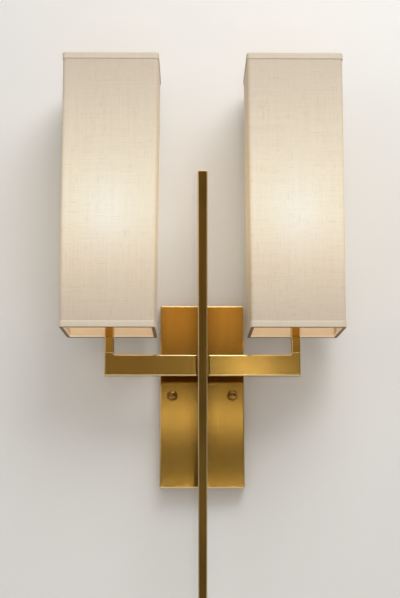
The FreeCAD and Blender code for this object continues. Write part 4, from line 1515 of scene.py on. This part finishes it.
    def tape_part(self, start: Pair, end: Pair, edge: Edge) -> TapePart:
        """Which part of the tape a strip of a hem belongs to.

        Args:
            start: the inset and depth at which the strip starts.
            end: the inset and depth at which it ends.
            edge: which edge of the shade.

        Returns:
            The part.
        """
        inset, depth = ((first + second) / 2 for first, second in zip(start, end))
        level_share = abs(end[0] - start[0]) / math.dist(start, end)
        level = level_share > self.level_least
        # The bottom hem's level underside gets the dark painted shade.
        if edge is Edge.BOTTOM and level and depth < self.hem / 2:
            return TapePart.UNDERSIDE
        if inset > 2 * self.tape_gap:
            return TapePart.INNER_LEG
        # The strips nearest the fold get the painted highlight.
        lit_border = depth > self.hem * self.border_share
        return TapePart.BORDER if lit_border else TapePart.OUTER_LEG


# Studio -------------------------------------------------------------------------------------


@dataclass(frozen=True)
class Lamp:
    """One soft rectangular lamp: its middle, the point it faces, width and height, and watts."""

    name: str
    place: Point
    aim: Point
    size: Pair
    power: float
    colour: Colour = WHITE

    def build(self) -> None:
        """Make the lamp."""
        data = bpy.data.lights.new(self.name, "AREA")
        data.shape = "RECTANGLE"
        data.size, data.size_y = self.size
        data.energy = self.power
        data.color = self.colour
        made = bpy.data.objects.new(self.name, data)
        made.location = self.place
        made.rotation_mode = "QUATERNION"
        towards = Vector(self.aim) - Vector(self.place)
        made.rotation_quaternion = towards.to_track_quat("-Z", "Y")
        bpy.context.scene.collection.objects.link(made)


LAMPS = (
    Lamp("key_above", (0.45, -1.05, 1.45), (0.0, -0.05, 0.05), (1.0, 1.0), 17.0),
    Lamp("fill_left", (-1.9, -2.1, 0.7), (0.0, -0.05, 0.05), (1.4, 1.4), 6.0),
    Lamp("fill_behind", (0.9, 2.2, 0.7), (0.0, 0.0, 0.0), (1.6, 1.6), 30.0),
    Lamp("strip_upright", (0.23, -3.2, -0.39), (0.06, -0.1, 0.0), (0.07, 0.55), 5.4),
    Lamp("strip_level", (0.0, -3.2, 0.200), (0.0, -0.1, 0.0), (1.6, 0.06), 1.45),
    Lamp("strip_warm", (0.0, -3.2, 0.76), (0.0, -0.1, 0.0), (1.6, 0.48), 2.4, (1.0, 0.68, 0.36)),
)


@dataclass
class Studio:
    """A pale wall and floor, even air and the camera at the photograph's viewing angle.

    The wall stands gap in front of Y = 0, reaches up to high and bends into the floor. The air's
    strength goes from dark below to bright above, up to the height of sky.
    """

    eye: Point = (-0.0157, -1.625, -0.1466)
    pitch: float = 0.1678
    yaw: float = -0.0078
    lens: float = 65.2
    lift: float = 0.0229
    pale: Colour = (0.80, 0.79, 0.77)
    mottled: Colour = (0.7, 0.69, 0.67)
    mottle: float = 0.06
    gap: float = 1.0 * MM
    high: float = 2.6
    reach: float = 3.5
    bend: float = 0.3
    bend_start: float = 0.1
    bend_steps: int = 8
    floor: float = -1.15
    pan_rim: float = 3.0 * MM
    air: Colour = (1.0, 0.985, 0.96)
    air_below: float = 0.12
    air_above: float = 0.90
    sky: float = 0.9

    def build(self) -> None:
        """Make everything that isn't the fixture."""
        self.room()
        self.world()
        for lamp in LAMPS:
            lamp.build()
        self.camera()

    def room(self) -> None:
        """One sheet that is the wall, bends and goes on as the floor."""
        corner = self.floor + self.bend
        profile = [(self.gap, self.high), (self.gap, corner)]
        centre, radii = (self.gap - self.bend, corner), (self.bend, -self.bend)
        profile += arc(centre, radii, self.bend_start, QUARTER, self.bend_steps)
        profile.append((-self.reach, self.floor))
        points = [Vector((x, y, z)) for y, z in profile for x in (-self.reach, self.reach)]
        rows = range(0, 2 * len(profile) - 2, 2)
        mesh = bpy.data.meshes.new("studio_sweep")
        mesh.from_pydata(points, [], [(low, low + 2, low + 3, low + 1) for low in rows])
        for polygon in mesh.polygons:
            polygon.use_smooth = True
        mesh.materials.append(self.paper())
        sweep = bpy.data.objects.new("studio_sweep", mesh)
        bpy.context.scene.collection.objects.link(sweep)

    def paper(self) -> Material:
        """Matt paper that is clear from behind, and open where the pan covers it.

        Returns:
            The paper.
        """
        recipe = Recipe("studio_paper")
        mottle = recipe.remap(recipe.cloud((3.0, 3.0, 3.0), detail=3.0), MOST, (0.0, self.mottle))
        recipe.set(Base_Color=recipe.blend(mottle, self.pale, self.mottled), Roughness=0.9)
        across, _, up = recipe.split(recipe.place)
        low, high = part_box("back_plate")
        aside = recipe.maths("LESS_THAN", recipe.maths("ABSOLUTE", across), high.x - self.pan_rim)
        above = recipe.maths("GREATER_THAN", up, low.z + self.pan_rim)
        below = recipe.maths("LESS_THAN", up, high.z - self.pan_rim)
        opening = recipe.maths("MULTIPLY", aside, recipe.maths("MULTIPLY", above, below))
        clear = recipe.tree.nodes.new("ShaderNodeBsdfTransparent")
        swap = recipe.tree.nodes.new("ShaderNodeMixShader")
        behind = recipe.tree.nodes.new("ShaderNodeNewGeometry").outputs["Backfacing"]
        share = recipe.maths("MAXIMUM", behind, opening)
        sources = (share, recipe.shader.outputs[0], clear.outputs[0])
        for target, source in zip(swap.inputs, sources):
            recipe.feed(target, source)
        recipe.feed(recipe.tree.nodes["Material Output"].inputs["Surface"], swap.outputs[0])
        return recipe.material

    def world(self) -> None:
        """Even, slightly brighter above."""
        world = bpy.data.worlds.new("studio_air")
        world.use_nodes = True
        tree = world.node_tree
        where = tree.nodes.new("ShaderNodeTexCoord")
        parts = tree.nodes.new("ShaderNodeSeparateXYZ")
        ramp = tree.nodes.new("ShaderNodeMapRange")
        tree.links.new(where.outputs["Generated"], parts.inputs[0])
        tree.links.new(parts.outputs[2], ramp.inputs[0])
        ramp.interpolation_type = "SMOOTHSTEP"
        numbers = (0.0, self.sky, self.air_below, self.air_above)
        for socket, number in zip(list(ramp.inputs)[1:], numbers):
            socket.default_value = number
        background = tree.nodes["Background"]
        background.inputs["Color"].default_value = (*self.air, 1.0)
        tree.links.new(ramp.outputs[0], background.inputs["Strength"])
        bpy.context.scene.world = world

    def camera(self) -> None:
        """The photograph's view, from below the plate and slightly to the left."""
        data = bpy.data.cameras.new("photo_camera")
        data.sensor_width = 36.0
        data.lens = self.lens
        data.shift_y = self.lift
        made = bpy.data.objects.new("photo_camera", data)
        made.location = self.eye
        made.rotation_euler = (QUARTER + self.pitch, 0.0, self.yaw)
        bpy.context.scene.collection.objects.link(made)
        bpy.context.scene.camera = made


def main() -> None:
    """Build the fixture and the studio."""
    logging.basicConfig(level=logging.INFO, format="%(message)s")
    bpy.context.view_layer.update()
    palette = Palette()
    WallStrap(palette).build()
    BackPlate(palette).build()
    Crossing(palette).build()
    for side in Side:
        for half in (Arm, LampHolder, Bulb, Shade):
            half(side, palette).build()
    Studio().build()
    bpy.context.scene.view_settings.view_transform = "Standard"


if __name__ == "__main__":
    main()
